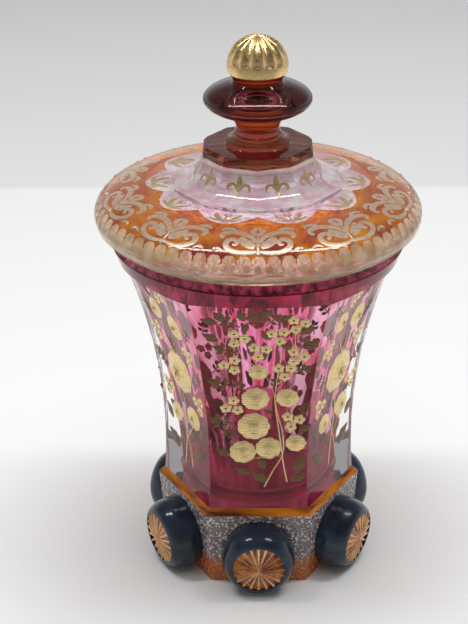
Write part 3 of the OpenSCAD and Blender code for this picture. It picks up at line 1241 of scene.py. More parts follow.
@dataclass
class Bowl:
    """The beaker's clear casing, cut in six panels, and the ruby lining inside it."""

    dresser: Dresser
    wheel: Wheel
    section: HexRing = field(default_factory=HexRing)
    casing_t: float = 1.35
    lining_t: float = 1.6
    bowl_turn: float = 3.2
    panel_h: float = 83.4
    step_slope: float = 16.0
    ring_rise: float = 6.8
    ring_out: float = 2.5
    rim_draw: float = 1.6
    joint_gap: float = 0.05
    # Offsets outwards and upwards that round off the ring's edge and the rim
    rim_round: Table = ((-0.25, 0.45), (0.1, -0.35), (-0.4, 0.0))
    panel_rows: int = 48
    step_rows: int = 6
    turn_rows: int = 9
    lining_step: float = 2.5
    # Deep red of the floor: its radius under the casing and its rows up the lining's wall
    glow_r: float = 20.0
    glow_rows: int = 7
    # How far, up to what height and how steeply the bowl draws in
    draw_in: float = 9.5
    draw_h: float = 75.0
    draw_curve: float = 1.3

    def __post_init__(self) -> None:
        """Takes the heights from the frame."""
        self.ledge_z = low_of("body_casing")
        self.rim_top = top_of("body_casing")
        self.bowl_z = low_of("ruby_lining")
        self.panel_top = self.ledge_z + self.panel_h

    def wall(self, z: Array | float, depth: float) -> Array | float:
        """Radius of the bowl's wall, which draws in towards its floor.

        Args:
            z: Heights.
            depth: Depth inside the panels.

        Returns:
            The radii.
        """
        share = np.clip((self.bowl_z + self.draw_h - z) / self.draw_h, 0, 1)
        return self.wheel.wall(z, depth) - self.draw_in * share ** self.draw_curve

    def cavity(self, depth: float, azimuth: Array, rows: int = 40) -> list[Array]:
        """Rings of the bowl's wall from the rim down to the middle of its floor.

        Args:
            depth: Depth inside the panels.
            azimuth: Azimuths of the points.
            rows: Rings on the wall.

        Returns:
            The rings, the last one a pole.
        """
        floor = self.bowl_z + depth - self.casing_t
        turn = self.bowl_turn - depth + self.casing_t
        heights = np.linspace(self.rim_top, floor + turn, rows)
        rings = [polar(azimuth, self.wall(z, depth), z) for z in heights]
        middle = self.wall(floor + turn, depth) - turn
        rows = arc(middle, floor + turn, turn, -turn, np.linspace(0, 90, self.turn_rows + 1)[1:])
        return rings + [polar(azimuth, r, z) for r, z in rows] + [pole(floor)]

    def casing(self) -> None:
        """Builds and dresses the casing."""
        clear, joint, rim, glow, edge = range(5)
        flat_top = float(self.wheel.wall(self.panel_top))
        corner_r = flat_top / math.cos(math.pi / 6)
        azimuth, panel_r = self.section.around(flat_top)
        rings, bands = [pole(self.ledge_z), polar(azimuth, self.glow_r, self.ledge_z)], [glow, clear]
        for z in np.linspace(self.ledge_z, self.panel_top, self.panel_rows):
            a, r = self.section.around(float(self.wheel.wall(z)))
            rings.append(polar(a, r, z))
            bands.append(clear)
        flare = self.ring_out / self.ring_rise
        run = 1 / (np.cos(in_panel(azimuth)) * math.tan(math.radians(self.step_slope)))
        rise = (corner_r - panel_r) / (run - flare)
        bands[-1] = rim
        for share in np.linspace(0, 1, self.step_rows):
            up = rise + (self.ring_rise - rise) * share
            rings.append(polar(azimuth, corner_r + flare * up, self.panel_top + up))
            bands.append(rim)
        ring_r = corner_r + self.ring_out
        rim_edge = (ring_r - self.rim_draw, self.rim_top)
        edges = ((ring_r, self.panel_top + self.ring_rise), rim_edge, rim_edge)
        rings += [polar(azimuth, r + out, z + up) for (r, z), (out, up) in zip(edges, self.rim_round)]
        bands += [edge, edge, rim]
        inside = self.cavity(self.casing_t, azimuth)
        rings += inside
        bands += [joint] * (len(inside) - 1)
        obj = Skin.over(rings, bands).to_object("beaker_casing", sharp=24)
        finishes = [Finish.CLEAR, Finish.JOINT, Finish.RIM, Finish.RUBY_FLOOR, Finish.RIM_EDGE]
        self.dresser.dress(obj, finishes, Body.BEAKER, Slot.CLEAR, ("body_casing",))

    def lining(self) -> None:
        """Builds and dresses the ruby lining."""
        ruby, skin, floor, base = range(4)
        azimuth = np.arange(0, 360, self.lining_step)
        outer = self.cavity(self.casing_t + self.joint_gap, azimuth)[::-1]
        inner = self.cavity(self.casing_t + self.lining_t, azimuth)
        low = self.turn_rows + self.glow_rows
        bands = [floor] * self.turn_rows + [base] * self.glow_rows + [skin] * (len(outer) - 1 - low)
        bands += [ruby] * (len(inner) - 1 - self.turn_rows) + [floor] * (self.turn_rows + 1)
        obj = Skin.over(outer + inner, bands).to_object("ruby_lining_glass", sharp=40)
        finishes = [Finish.RUBY, Finish.RUBY_SKIN, Finish.RUBY_FLOOR, Finish.RUBY_BASE]
        self.dresser.dress(obj, finishes, Body.BEAKER, Slot.RUBY, ("ruby_lining",))


@dataclass
class Foot:
    """The block foot with stippled faces and a bevelled ledge, and the six prunts on it."""

    dresser: Dresser
    nodes: NodeWork
    foot_flat: float = 28.75
    foot_spread: float = 2.45
    ledge_h: float = 2.1
    ledge_in: float = 2.0
    hollow_r: float = 20.0
    hollow_depth: float = 1.2
    hollow_start: float = 4.0
    hollow_rows: int = 5
    stipple_rows: int = 92
    stipple_margin: float = 0.7
    pit: float = 1.0
    pit_depth: float = 0.16
    pit_seed: float = 3.0
    joint_gap: float = 0.05
    joint_in: float = 0.4
    prunt_z: float = 13.25
    prunt_r: float = 12.75
    prunt_root_r: float = 12.5
    prunt_belly: float = 3.8
    prunt_depth: float = 11.0
    prunt_sink: float = 0.1
    prunt_step: float = 3.75
    belly_rows: int = 8
    crown_rows: int = 18
    star_r: float = 9.0
    star_gap: float = 0.03
    star_rise: float = 0.9
    star_rays: int = 20
    ray_depth: float = 1.0
    ridge_half: float = 2.9
    # Points between two ridges, as shares of their distance
    valley_steps: tuple[float, ...] = (0.3, 0.5, 0.7)
    star_rings: tuple[float, ...] = (0.12, 0.35, 0.6, 0.85, 1.0)

    def __post_init__(self) -> None:
        """Takes the heights from the frame."""
        self.ledge_z = top_of("foot_block")
        self.face_h = self.ledge_z - self.ledge_h

    def block(self) -> None:
        """Builds and dresses the foot block."""
        face, joint, ledge = range(3)
        section = HexRing(flat_columns=100, edge_columns=3, edge_r=0.4)
        lean = self.foot_spread / self.face_h
        azimuth, _ = section.around(self.foot_flat)
        ball_r = (self.hollow_r**2 + self.hollow_depth**2) / (2 * self.hollow_depth)
        rings, marks, bands = [pole(self.hollow_depth)], [np.zeros(1)], []
        for r in np.linspace(self.hollow_start, self.hollow_r, self.hollow_rows):
            z = self.hollow_depth - ball_r + math.sqrt(ball_r**2 - r**2)
            rings.append(polar(azimuth, r, max(z, 0.0)))
            marks.append(np.zeros(len(azimuth)))
            bands.append(ledge)
        for z in np.linspace(0, self.face_h, self.stipple_rows):
            flat = self.foot_flat + lean * z
            a, r = section.around(flat)
            rings.append(polar(a, r, z))
            across = np.abs(r * np.sin(in_panel(a)))
            inset = np.minimum(flat * math.tan(math.pi / 6) - across, min(z, self.face_h - z))
            marks.append(np.clip((inset - self.stipple_margin / 2) / self.stipple_margin, 0, 1))
            bands.append(face if z > 0 else ledge)
        top_flat = self.foot_flat + self.foot_spread - self.ledge_in
        for share in (0.5, 1.0):
            a, r = section.around(self.foot_flat + self.foot_spread - self.ledge_in * share)
            rings.append(polar(a, r, self.face_h + (self.ledge_h - self.joint_gap) * share))
            marks.append(np.zeros(len(a)))
            bands.append(ledge)
        a, r = section.around(top_flat - self.joint_in)
        rings += [polar(a, r, self.ledge_z - self.joint_gap), pole(self.ledge_z - self.joint_gap)]
        marks += [np.zeros(len(a)), np.zeros(1)]
        bands += [joint, joint]
        obj = Skin.over(rings, bands).to_object("foot_glass_block", sharp=24)
        mark(obj.data, "stipple", np.concatenate(marks))
        for number, zone in ((joint, "joint"), (ledge, "ledge")):
            mark(obj.data, zone, [p.material_index == number for p in obj.data.polygons], "BOOLEAN", "FACE")
        book = self.dresser.book
        self.nodes.run(obj, self.nodes.stipple, Pit=self.pit * MM, Depth=self.pit_depth * MM,
                       Seed=self.pit_seed, Material=book[Finish.PRICKED], Joint=book[Finish.JOINT],
                       Ledge=book[Finish.LEDGE])
        self.dresser.dress(obj, [], Body.BEAKER, Slot.FOOT, ("foot_block",))

    def face_matrix(self, number: int) -> Matrix:
        """Frame of a prunt, with Z square to its foot face.

        Args:
            number: Number of the prunt, from 1.

        Returns:
            The frame as a matrix in millimetres.
        """
        lean = math.atan(self.foot_spread / self.face_h)
        return (Matrix.Rotation(math.radians(60 * (number - 1)), 4, "Z")
                @ Matrix.Translation((0, -self.foot_flat, 0))
                @ Matrix.Rotation(math.pi / 2 + lean, 4, "X")
                @ Matrix.Translation((0, self.prunt_z, 0)))

    def shell(self) -> Skin:
        """The overlay boss of a prunt, in its own frame.

        Returns:
            The closed ring-shaped skin.
        """
        azimuth = np.arange(0, 360, self.prunt_step)
        rows = [(self.star_r, -self.prunt_sink), (self.prunt_root_r, -self.prunt_sink)]
        for s in np.linspace(0, 1, self.belly_rows, endpoint=False):
            swell = (self.prunt_r - self.prunt_root_r) * math.sin(s * math.pi / 2)
            rows.append((self.prunt_root_r + swell, self.prunt_belly * s))
        rows += arc(self.star_r, self.prunt_belly, self.prunt_r - self.star_r,
                    self.prunt_depth - self.prunt_belly, np.linspace(0, 90, self.crown_rows))
        return Skin.over([polar(azimuth, r, z) for r, z in rows], closed=True)

    def core(self) -> Skin:
        """The star-cut core of a prunt, in its own frame.

        Returns:
            The closed skin, with gilt ridges as finish 1.
        """
        step = 360 / self.star_rays
        ridge = self.ridge_half
        offsets = np.array([-ridge, 0.0, ridge, *(step * share for share in self.valley_steps)])
        azimuth = (np.arange(self.star_rays)[:, None] * step + offsets).ravel()
        from_ridge = np.abs((azimuth + step / 2) % step - step / 2) / (step / 2)
        fall = self.star_rise + self.ray_depth * from_ridge
        gilt = np.tile(np.array([1, 1, 0, 0, 0, 0]), self.star_rays)
        apex = self.prunt_depth + self.star_rise
        edge_r = self.star_r - self.star_gap
        rings, bands = [pole(apex)], []
        for share in self.star_rings:
            rings.append(polar(azimuth, edge_r * share, apex - fall * share))
            bands.append(gilt)
        rings += [polar(azimuth, edge_r, 0.0), pole(0.0)]
        return Skin.over(rings, bands + [0, 0])

    def prunts(self) -> None:
        """Builds and dresses the six prunts."""
        shell, core = self.shell(), self.core()
        for number in range(1, 7):
            matrix = self.face_matrix(number)
            obj = shell.moved(matrix).to_object(f"prunt_boss_{number}", sharp=40)
            self.dresser.dress(obj, [Finish.SLATE], Body.BEAKER, Slot.SLATE, (f"prunt_shell_{number}",))
            obj = core.moved(matrix).to_object(f"prunt_star_{number}", sharp=8)
            finishes = [Finish.STAR, Finish.RIDGE]
            self.dresser.dress(obj, finishes, Body.BEAKER, Slot.STAR, (f"prunt_core_{number}",))


@dataclass(frozen=True)
class SprayDesign:
    """One design of gilt spray; each place starts with distance from the panel's middle and height."""

    name: str
    # Place and radius
    roses: Table
    # Place and turn of three small flowers
    clusters: Table
    # Place, turn and half length
    sprigs: Table
    leaves: Table
    # Points of each stem
    stems: tuple[Table, ...]


FRONT_SPRAY = SprayDesign(
    "rose_spray",
    roses=((0.0, 85.0, 3.3), (-1.0, 74.0, 4.8), (9.7, 74.4, 3.9), (-1.6, 62.8, 5.6), (-5.3, 52.4, 4.6),
           (3.4, 53.9, 4.5), (12.7, 56.0, 3.5)),
    clusters=((-6.7, 99.0, 0), (0.4, 93.8, 20), (6.6, 100.3, 40), (13.0, 105.0, 10), (-9.0, 88.0, 60),
              (12.8, 91.5, 0), (8.8, 85.5, 30), (-8.7, 71.0, 80), (11.6, 65.0, 15)),
    sprigs=((-9.5, 106.0, 60, 4.2), (-1.5, 107.0, 20, 3.8), (5.0, 107.0, -45, 3.6), (-11.0, 94.5, 70, 4.2),
            (15.0, 97.0, -25, 4.2), (14.8, 86.0, -60, 3.6), (-12.5, 80.5, 75, 4.4), (-6.3, 79.5, 40, 3.4),
            (-12.4, 64.8, 80, 4.6), (15.4, 70.0, -40, 3.2), (-9.8, 60.0, 55, 3.2), (5.6, 80.5, -20, 3.0)),
    leaves=((9.0, 96.0, 70, 2.4), (-12.2, 52.5, 60, 2.8), (-5.6, 44.8, 65, 3.0), (0.2, 42.6, 50, 3.4),
            (1.0, 48.0, 20, 2.6), (14.0, 48.0, -20, 4.0), (13.8, 42.2, -70, 3.0), (15.8, 62.0, -50, 2.6),
            (3.2, 68.8, 60, 1.8), (-16.0, 106.5, 70, 3.0), (-12.6, 108.6, 45, 2.6), (-5.6, 108.8, 25, 2.6),
            (3.2, 109.6, -35, 2.6), (8.8, 107.6, -60, 2.8), (16.0, 102.6, -65, 3.2), (18.2, 96.6, -40, 3.0),
            (-15.6, 99.6, 55, 3.0), (-4.2, 103.6, -20, 2.4), (2.2, 100.6, 30, 2.4)),
    stems=(((2.0, 38.5), (5.0, 45.0), (8.2, 51.5), (8.2, 60.0), (6.4, 68.0), (5.0, 77.0), (2.5, 84.0)),
           ((9.8, 40.5), (8.6, 47.0), (7.9, 53.0), (6.8, 62.0), (5.6, 72.0), (6.0, 80.0), (7.5, 92.0),
            (7.0, 99.0)),
           ((3.5, 84.0), (-1.5, 88.0), (-5.5, 92.0), (-6.8, 98.0)),
           ((6.0, 80.0), (10.5, 84.0), (13.0, 91.0), (12.0, 98.0), (13.0, 105.0)),
           ((7.6, 51.0), (2.0, 50.5), (-5.0, 49.5), (-10.5, 51.5))),
)
SIDE_SPRAY = SprayDesign(
    "blossom_spray",
    roses=((0.5, 76.5, 8.4), (-6.8, 99.0, 4.2), (5.6, 96.5, 4.8), (6.4, 60.5, 4.6), (-5.4, 58.0, 3.8)),
    clusters=((-1.0, 106.5, 0), (10.5, 87.0, 30), (-11.0, 89.0, 60), (-10.0, 66.5, 10), (12.0, 68.5, 45)),
    sprigs=((-12.0, 106.0, 50, 4.2), (9.0, 106.5, -50, 4.2), (14.0, 97.0, -30, 4.2), (-14.0, 97.5, 30, 3.8),
            (13.2, 78.5, -60, 4.4), (-12.6, 78.0, 60, 4.4), (0.0, 88.5, 10, 3.2)),
    leaves=((12.5, 57.0, -40, 3.4), (-11.5, 56.0, 40, 3.4), (-9.0, 46.0, 60, 4.6), (9.5, 47.0, -55, 4.6),
            (-2.5, 50.5, 30, 3.2), (5.0, 52.5, -35, 3.0)),
    stems=(((-1.0, 39.5), (0.5, 50.0), (1.5, 60.0), (0.5, 70.0), (0.0, 84.0), (2.0, 92.0), (5.0, 96.0)),
           ((4.5, 40.0), (2.5, 48.0), (-1.0, 55.0), (-5.0, 58.0), (-9.5, 66.0)),
           ((0.5, 50.0), (4.5, 55.0), (7.0, 60.0), (11.0, 67.0)),
           ((0.2, 84.0), (-4.0, 90.0), (-6.5, 97.0), (-2.0, 106.0))),
)


@dataclass
class PanelGilding:
    """Gilt sprays on the panels: roses, small flowers, leaves and stems."""

    dresser: Dresser
    nodes: NodeWork
    wheel: Wheel
    copies: int = 3
    flower_r: float = 2.05
    cluster_r: float = 2.35
    heart_r: float = 0.5
    heart_lift: float = 0.12
    stem_w: float = 0.2
    # Width of a stem at its root and its tip, as shares of stem_w
    stem_taper: tuple[float, float] = (1.4, 0.6)
    # Turn from one rose, and one small flower, to the next
    rose_turn: float = 40.0
    flower_turn: float = 25.0

    def small_flowers(self, design: SprayDesign, lift: float, size: float) -> list[Place]:
        """Places of the small flowers.

        Args:
            design: The spray.
            lift: Height above the panel.
            size: Size of what lies there.

        Returns:
            The places.
        """
        places = []
        for u, z, turn in design.clusters:
            for k in range(3):
                a = math.radians(turn + 120 * k)
                across, along = self.cluster_r * math.cos(a), self.cluster_r * math.sin(a)
                place = self.wheel.place(u + across, z + along, self.flower_turn * k, size)
                place.point = place.point + lift * place.normal
                places.append(place)
        return places

    def spray(self, design: SprayDesign, start: float) -> None:
        """Builds and dresses one design of spray on every other panel.

        Args:
            design: The spray.
            start: Azimuth of the first panel.
        """
        place = self.wheel.place
        roses = [place(u, z, self.rose_turn * k, r) for k, (u, z, r) in enumerate(design.roses)]
        flowers = self.small_flowers(design, 0.0, self.flower_r)
        hearts = self.small_flowers(design, self.heart_lift, self.heart_r)
        kinds = (("roses", Motif.rose(), roses, Finish.BLOSSOM),
                 ("flowers", Motif.lobes(1.0, 5, 0.24, 0.12), flowers, Finish.BLOSSOM),
                 ("hearts", Motif.bead(6), hearts, Finish.LEAF),
                 ("sprigs", Motif.sprig(), [place(*s) for s in design.sprigs], Finish.LEAF),
                 ("leaves", Motif.leaf(), [place(*s) for s in design.leaves], Finish.LEAF))
        for part, motif, places, finish in kinds:
            obj = self.nodes.scatter(f"{design.name}_{part}", motif, places, finish, self.copies, start)
            self.dresser.dress(obj, [finish], Body.BEAKER, Slot.GILDING)
        lines = []
        for stem in design.stems:
            flat = smooth_line(stem)
            points = np.column_stack((flat[:, 0], -self.wheel.wall(flat[:, 1]), flat[:, 1]))
            lines.append((points, np.linspace(*self.stem_taper, len(points)) * self.stem_w, False))
        obj = self.nodes.draw(f"{design.name}_stems", lines, Finish.BLOSSOM, self.copies, start)
        self.dresser.dress(obj, [Finish.BLOSSOM], Body.BEAKER, Slot.GILDING)

    def build(self) -> None:
        """Builds both designs, which take turns round the beaker."""
        self.spray(FRONT_SPRAY, 0.0)
        self.spray(SIDE_SPRAY, 180 / self.copies)


@dataclass
class Cover:
    """The domed cover: hollow neck facets and petals, stained dome, thumb-cut edge, lip and flange."""

    dresser: Dresser
    sides: int = 10
    lip_h: float = 5.3
    lip_draw: float = 3.0
    lip_round: float = 0.75
    flange_h: float = 5.0
    flange_t: float = 2.8
    flange_r: float = 39.15
    flange_round: float = 0.4
    seat_round: float = 0.3
    shoulder_h: float = 9.2
    shoulder_w: float = 17.0
    petal_rise: float = 1.7
    neck_flat: float = 18.2
    neck_wheel_r: float = 9.9
    neck_bite: float = 0.4
    petal_l: float = 9.4
    petal_wheel_r: float = 60.0
    petal_bite: float = 0.5
    petal_gap: float = 0.12
    cover_t: float = 4.2
    columns: int = 720
    neck_rows: int = 16
    petal_rows: int = 10
    # Rings between the petals and the shoulder, as shares of the way
    ring_steps: tuple[float, ...] = (0.4, 0.8)
    dome_rows: int = 50
    lip_rows: int = 12
    cave_rows: int = 14
    halvings: int = 40
    thumbs: int = 72
    thumb_depth: float = 0.25
    thumb_low: float = 130.4
    thumb_high: float = 135.4
    thumb_fill: float = 0.94
    stain_low: float = 133.4
    # Distance from the axis at which lengths along the dome's gilding are measured
    gilding_r: float = 47.0

    def __post_init__(self) -> None:
        """Takes the main sizes from the frame."""
        self.flange_z = low_of("cover_bell")
        self.neck_top = top_of("cover_bell")
        self.cover_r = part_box("cover_bell")[1].x / MM
        self.seat_z = self.flange_z + self.flange_h
        self.widest_z = self.seat_z + self.lip_h
        self.shoulder_r = self.cover_r - self.shoulder_w
        self.shoulder_z = self.widest_z + self.shoulder_h
        self.neck_foot_r = self.neck_flat + self.neck_wheel_r
        ring_w = self.shoulder_r - self.neck_foot_r
        self.ring_slope = self.petal_rise / (ring_w + self.neck_bite)
        self.petal_z = self.shoulder_z + self.petal_rise * (1 - self.petal_l / ring_w)
        self.petal_start = self.neck_foot_r - self.petal_bite

    def dome_z(self, r: Array | float) -> Array | float:
        """Height of the uncut dome at a distance from the axis.

        Args:
            r: Distance from the axis.

        Returns:
            The height.
        """
        over = np.clip((r - self.shoulder_r) / self.shoulder_w, 0, 1)
        ring = np.maximum(self.shoulder_r - r, 0) * self.ring_slope
        return self.widest_z + self.shoulder_h * np.sqrt(1 - over**2) + ring

    def petal_floor(self, across: Array | float) -> Array | float:
        """Height of a petal's hollow at a distance from its middle line."""
        return self.petal_z + self.petal_wheel_r - np.sqrt(self.petal_wheel_r**2 - across**2)

    def petal_edge(self, local: Array) -> Array:
        """Distance from the axis where a petal runs out on the dome.

        Args:
            local: Azimuths from the petal's middle.

        Returns:
            The distances.
        """
        low = np.full(len(local), self.petal_start / math.cos(math.pi / self.sides))
        high = np.full(len(local), self.shoulder_r)
        for _ in range(self.halvings):
            middle = (low + high) / 2
            inside = self.petal_floor(middle * np.sin(np.radians(local))) < self.dome_z(middle)
            low, high = np.where(inside, middle, low), np.where(inside, high, middle)
        return low

    def bell(self) -> None:
        """Builds and dresses the bell of the cover."""
        # The neck and petals carry a painted reflection of the ruby bowl, and the dome's amber stain carries
        # painted shade.
        clear, stain, painted_ruby_reflection, lip, joint = range(5)
        azimuth = np.arange(self.columns) * 360 / self.columns
        pitch = 360 / self.sides
        local = azimuth % pitch - pitch / 2
        bend = np.cos(np.radians(local))
        side = np.sin(np.radians(local))
        rings, bands = [pole(self.neck_top)], [joint]
        last = math.acos(self.petal_bite / self.neck_wheel_r)
        for a in np.linspace(0, last, self.neck_rows):
            flat = self.neck_foot_r - self.neck_wheel_r * math.cos(a)
            rings.append(polar(azimuth, flat / bend, self.neck_top - self.neck_wheel_r * math.sin(a)))
            bands.append(painted_ruby_reflection)
        start = self.petal_start / bend
        edge = self.petal_edge(local)
        for share in np.linspace(0.0, 1.0, self.petal_rows):
            r = start + self.petal_gap + (edge - start - self.petal_gap) * share
            rings.append(polar(azimuth, r, self.petal_floor(r * side)))
            bands.append(painted_ruby_reflection)
        bands[-1] = stain
        for share in self.ring_steps:
            r = edge + (self.shoulder_r - edge) * share
            rings.append(polar(azimuth, r, self.dome_z(r)))
            bands.append(stain)
        for a in np.radians(np.linspace(90, 0, self.dome_rows)):
            r = self.shoulder_r + self.shoulder_w * math.cos(a)
            z = self.widest_z + self.shoulder_h * math.sin(a)
            cut = self.thumb_depth * self.thumb(azimuth, z)
            rings.append(polar(azimuth, r - cut * math.cos(a), z - cut * math.sin(a)))
            bands.append(np.where(cut > 0, lip, stain) if z > self.stain_low else lip)
        lip_foot = self.cover_r - self.lip_draw
        down = np.linspace(0, 90, self.lip_rows)[1:]
        for r, z in arc(lip_foot, self.widest_z, self.lip_draw, -self.lip_h * self.lip_round, down):
            rings.append(polar(azimuth, r - self.thumb_depth * self.thumb(azimuth, z), z))
            bands.append(lip)
        cave_r = self.flange_r - self.flange_t
        cave_top = self.shoulder_z - self.cover_t
        turn = cave_top - self.seat_z
        seat, foot = self.seat_round, self.flange_round
        under = [(lip_foot, self.seat_z + seat), (lip_foot - seat, self.seat_z),
                 (self.flange_r + seat, self.seat_z), (self.flange_r, self.seat_z - seat),
                 (self.flange_r, self.flange_z + foot), (self.flange_r - foot, self.flange_z),
                 (cave_r + foot, self.flange_z), (cave_r, self.flange_z + foot)]
        under += arc(cave_r - turn, self.seat_z, turn, turn, np.linspace(0, 90, self.cave_rows))
        rings += [polar(azimuth, r, z) for r, z in under] + [pole(cave_top)]
        bands += [clear] * len(under)
        obj = Skin.over(rings, bands).to_object("cover_glass_bell", sharp=13)
        finishes = [Finish.CLEAR, Finish.STAIN, Finish.BLUSH, Finish.LIP, Finish.JOINT]
        self.dresser.dress(obj, finishes, Body.COVER, Slot.COVER, ("cover_bell",))

    def thumb(self, azimuth: Array, z: float) -> Array:
        """Hollow of the oval thumb cuts round the widest edge.

        Args:
            azimuth: Azimuths of the points.
            z: Their height.

        Returns:
            The share of the full depth, 0 between the cuts.
        """
        turn = azimuth * self.thumbs / 360
        across = 2 * (turn - np.round(turn)) / self.thumb_fill
        along = (2 * z - self.thumb_low - self.thumb_high) / (self.thumb_high - self.thumb_low)
        return np.maximum(1 - across**2 - along**4, 0)

    def on_dome(self, line: Array) -> tuple[Array, Array]:
        """Lays flat points on the dome.

        Args:
            line: Rows of distance along the ring and distance from the axis.

        Returns:
            Points and surface normals.
        """
        azimuth, r = np.degrees(line[:, 0] / self.gilding_r), line[:, 1]
        step = 0.01
        slope = (self.dome_z(r + step) - self.dome_z(r - step)) / (2 * step)
        tilt = 1 / np.sqrt(1 + slope**2)
        normals = polar(azimuth, -slope * tilt, tilt)
        return polar(azimuth, r, self.dome_z(r)), normals

    def on_neck(self, line: Array) -> tuple[Array, Array]:
        """Lays flat points on the front neck facet, seen as if it faced azimuth 0.

        Args:
            line: Rows of distance across and distance along the hollow down from the top.

        Returns:
            Points and surface normals.
        """
        a = line[:, 1] / self.neck_wheel_r
        flat = self.neck_foot_r - self.neck_wheel_r * np.cos(a)
        points = np.column_stack((line[:, 0], -flat, self.neck_top - self.neck_wheel_r * np.sin(a)))
        return points, np.column_stack((np.zeros(len(a)), -np.cos(a), np.sin(a)))

    def on_petal(self, line: Array) -> tuple[Array, Array]:
        """Lays flat points in the front petal, seen as if it faced azimuth 0.

        Args:
            line: Rows of distance across and distance from the axis.

        Returns:
            Points and surface normals.
        """
        points = np.column_stack((line[:, 0], -line[:, 1], self.petal_floor(line[:, 0])))
        normals = np.column_stack((-line[:, 0] / self.petal_wheel_r, np.zeros(len(line)), np.ones(len(line))))
        return points, normals / np.linalg.norm(normals, axis=1)[:, None]


@dataclass
class CoverGilding:
    """Gilding of the cover: scrolls and lines on the dome, lilies on the neck, sprigs in the petals."""

    dresser: Dresser
    nodes: NodeWork
    cover: Cover
    rise: float = 0.03
    # Where the strokes' swelling starts and ends, as shares of half a turn
    swell: tuple[float, float] = (0.18, 0.86)
    # Lines on the lip, as depth under the widest edge and half width
    lip_lines: Table = ((2.6, 0.12), (3.5, 0.2))
    line_step: float = 2.0
    # Drops on the dome, in the scroll's middle and as a pair beside it
    drop_r: float = 51.4
    pair_r: float = 50.6
    pair_turn: float = 15.6
    drop_sizes: tuple[float, ...] = (0.95, 0.75, 0.75)
    # Strokes of half a scroll as points (along the ring, from the axis) and widest half width
    scroll: Strokes = (
        (((0.3, 50.9), (3.6, 51.4), (7.2, 50.9), (9.6, 49.2), (9.6, 47.2), (8.0, 46.2), (6.4, 47.0),
          (6.8, 48.3), (7.8, 48.3)), 0.95),
        (((0.5, 47.4), (2.0, 45.0), (4.8, 43.2), (8.4, 42.5), (11.2, 43.3), (11.9, 44.9), (10.9, 45.8)), 1.1),
        (((0.9, 49.2), (2.8, 48.2), (4.6, 46.6), (5.2, 44.9)), 1.6),
        (((10.2, 51.0), (11.6, 50.2), (12.9, 50.4), (13.4, 51.2)), 0.5),
        (((0.15, 44.2), (1.5, 42.3), (1.3, 40.6), (0.2, 39.5)), 1.0),
        (((7.6, 41.4), (9.6, 40.4), (11.8, 40.8), (12.8, 42.0)), 0.8),
        (((0.02, 50.6), (0.1, 47.6), (0.05, 44.2)), 0.4),
    )
    # Strokes of half a lily on the neck, as points (across, down the hollow)
    lily: Strokes = (
        (((0.2, 7.6), (0.8, 5.9), (2.0, 4.9), (3.4, 5.4), (3.6, 6.6), (2.9, 7.0)), 0.6),
        (((0.05, 9.4), (0.1, 8.2), (0.15, 7.2)), 0.3),
        (((0.0, 7.5), (1.3, 7.4)), 0.25),
        (((0.02, 7.4), (0.42, 5.4), (0.36, 3.6), (0.02, 2.0)), 0.6),
    )
    # Strokes of half a sprig in a petal, as points (across, from the axis)
    sprig: Strokes = (
        (((0.15, 35.8), (2.0, 33.8), (3.6, 31.6), (4.0, 29.8)), 0.95),
        (((0.05, 36.6), (0.1, 33.6), (0.05, 30.2)), 0.28),
        (((0.3, 35.4), (3.0, 35.0), (5.2, 33.9)), 0.65),
        (((0.1, 31.8), (0.9, 30.6), (0.5, 29.4)), 0.5),
    )

    def strokes(self, half: Strokes, lay: Lay) -> Skin:
        """Draws the strokes of a motif and their mirror images on a surface.

        Args:
            half: Strokes of its right half.
            lay: Function that lays flat points on the surface.

        Returns:
            The motif.
        """
        skins = []
        for points, width in half:
            flat = smooth_line(points, 5)
            taper = np.sin(np.linspace(*self.swell, len(flat)) * np.pi) * width
            for mirror in (1.0, -1.0):
                line, normals = lay(flat * np.array([mirror, 1.0]))
                skins.append(Motif.ribbon(line, normals, taper, self.rise))
        return Skin.joined(skins)

    def build(self) -> None:
        """Builds and dresses all gilding of the cover."""
        half_pitch = 180 / self.cover.sides
        kinds = (("scrolls", self.scroll, self.cover.on_dome, 0.0, Finish.LACE),
                 ("lilies", self.lily, self.cover.on_neck, half_pitch, Finish.LILY),
                 ("sprigs", self.sprig, self.cover.on_petal, half_pitch, Finish.LILY))
        for name, half, lay, start, finish in kinds:
            obj = self.strokes(half, lay).to_object("cover_" + name, sharp=40)
            self.nodes.repeat(obj, finish, self.cover.sides, start)
            self.dresser.dress(obj, [finish], Body.COVER, Slot.GILDING)
        azimuth = np.arange(0, 360, self.line_step)
        lines = []
        for drop, width in self.lip_lines:
            share = drop / (self.cover.lip_h * self.cover.lip_round)
            r = self.cover.cover_r - self.cover.lip_draw * (1 - math.sqrt(1 - share**2))
            lines.append((polar(azimuth, r, self.cover.widest_z - drop), width, True))
        obj = self.nodes.draw("cover_lines", lines, Finish.LACE)
        self.dresser.dress(obj, [Finish.LACE], Body.COVER, Slot.GILDING)
        pair = np.radians(self.pair_turn) * self.cover.gilding_r
        spots = np.array([[0.0, self.drop_r], [pair, self.pair_r], [-pair, self.pair_r]])
        up = np.array([0.0, 0.0, 1.0])
        drops = [Place(point, normal, up, size=size)
                 for point, normal, size in zip(*self.cover.on_dome(spots), self.drop_sizes)]
        obj = self.nodes.scatter("cover_drops", Motif.bead(), drops, Finish.LACE, self.cover.sides)
        self.dresser.dress(obj, [Finish.LACE], Body.COVER, Slot.GILDING)


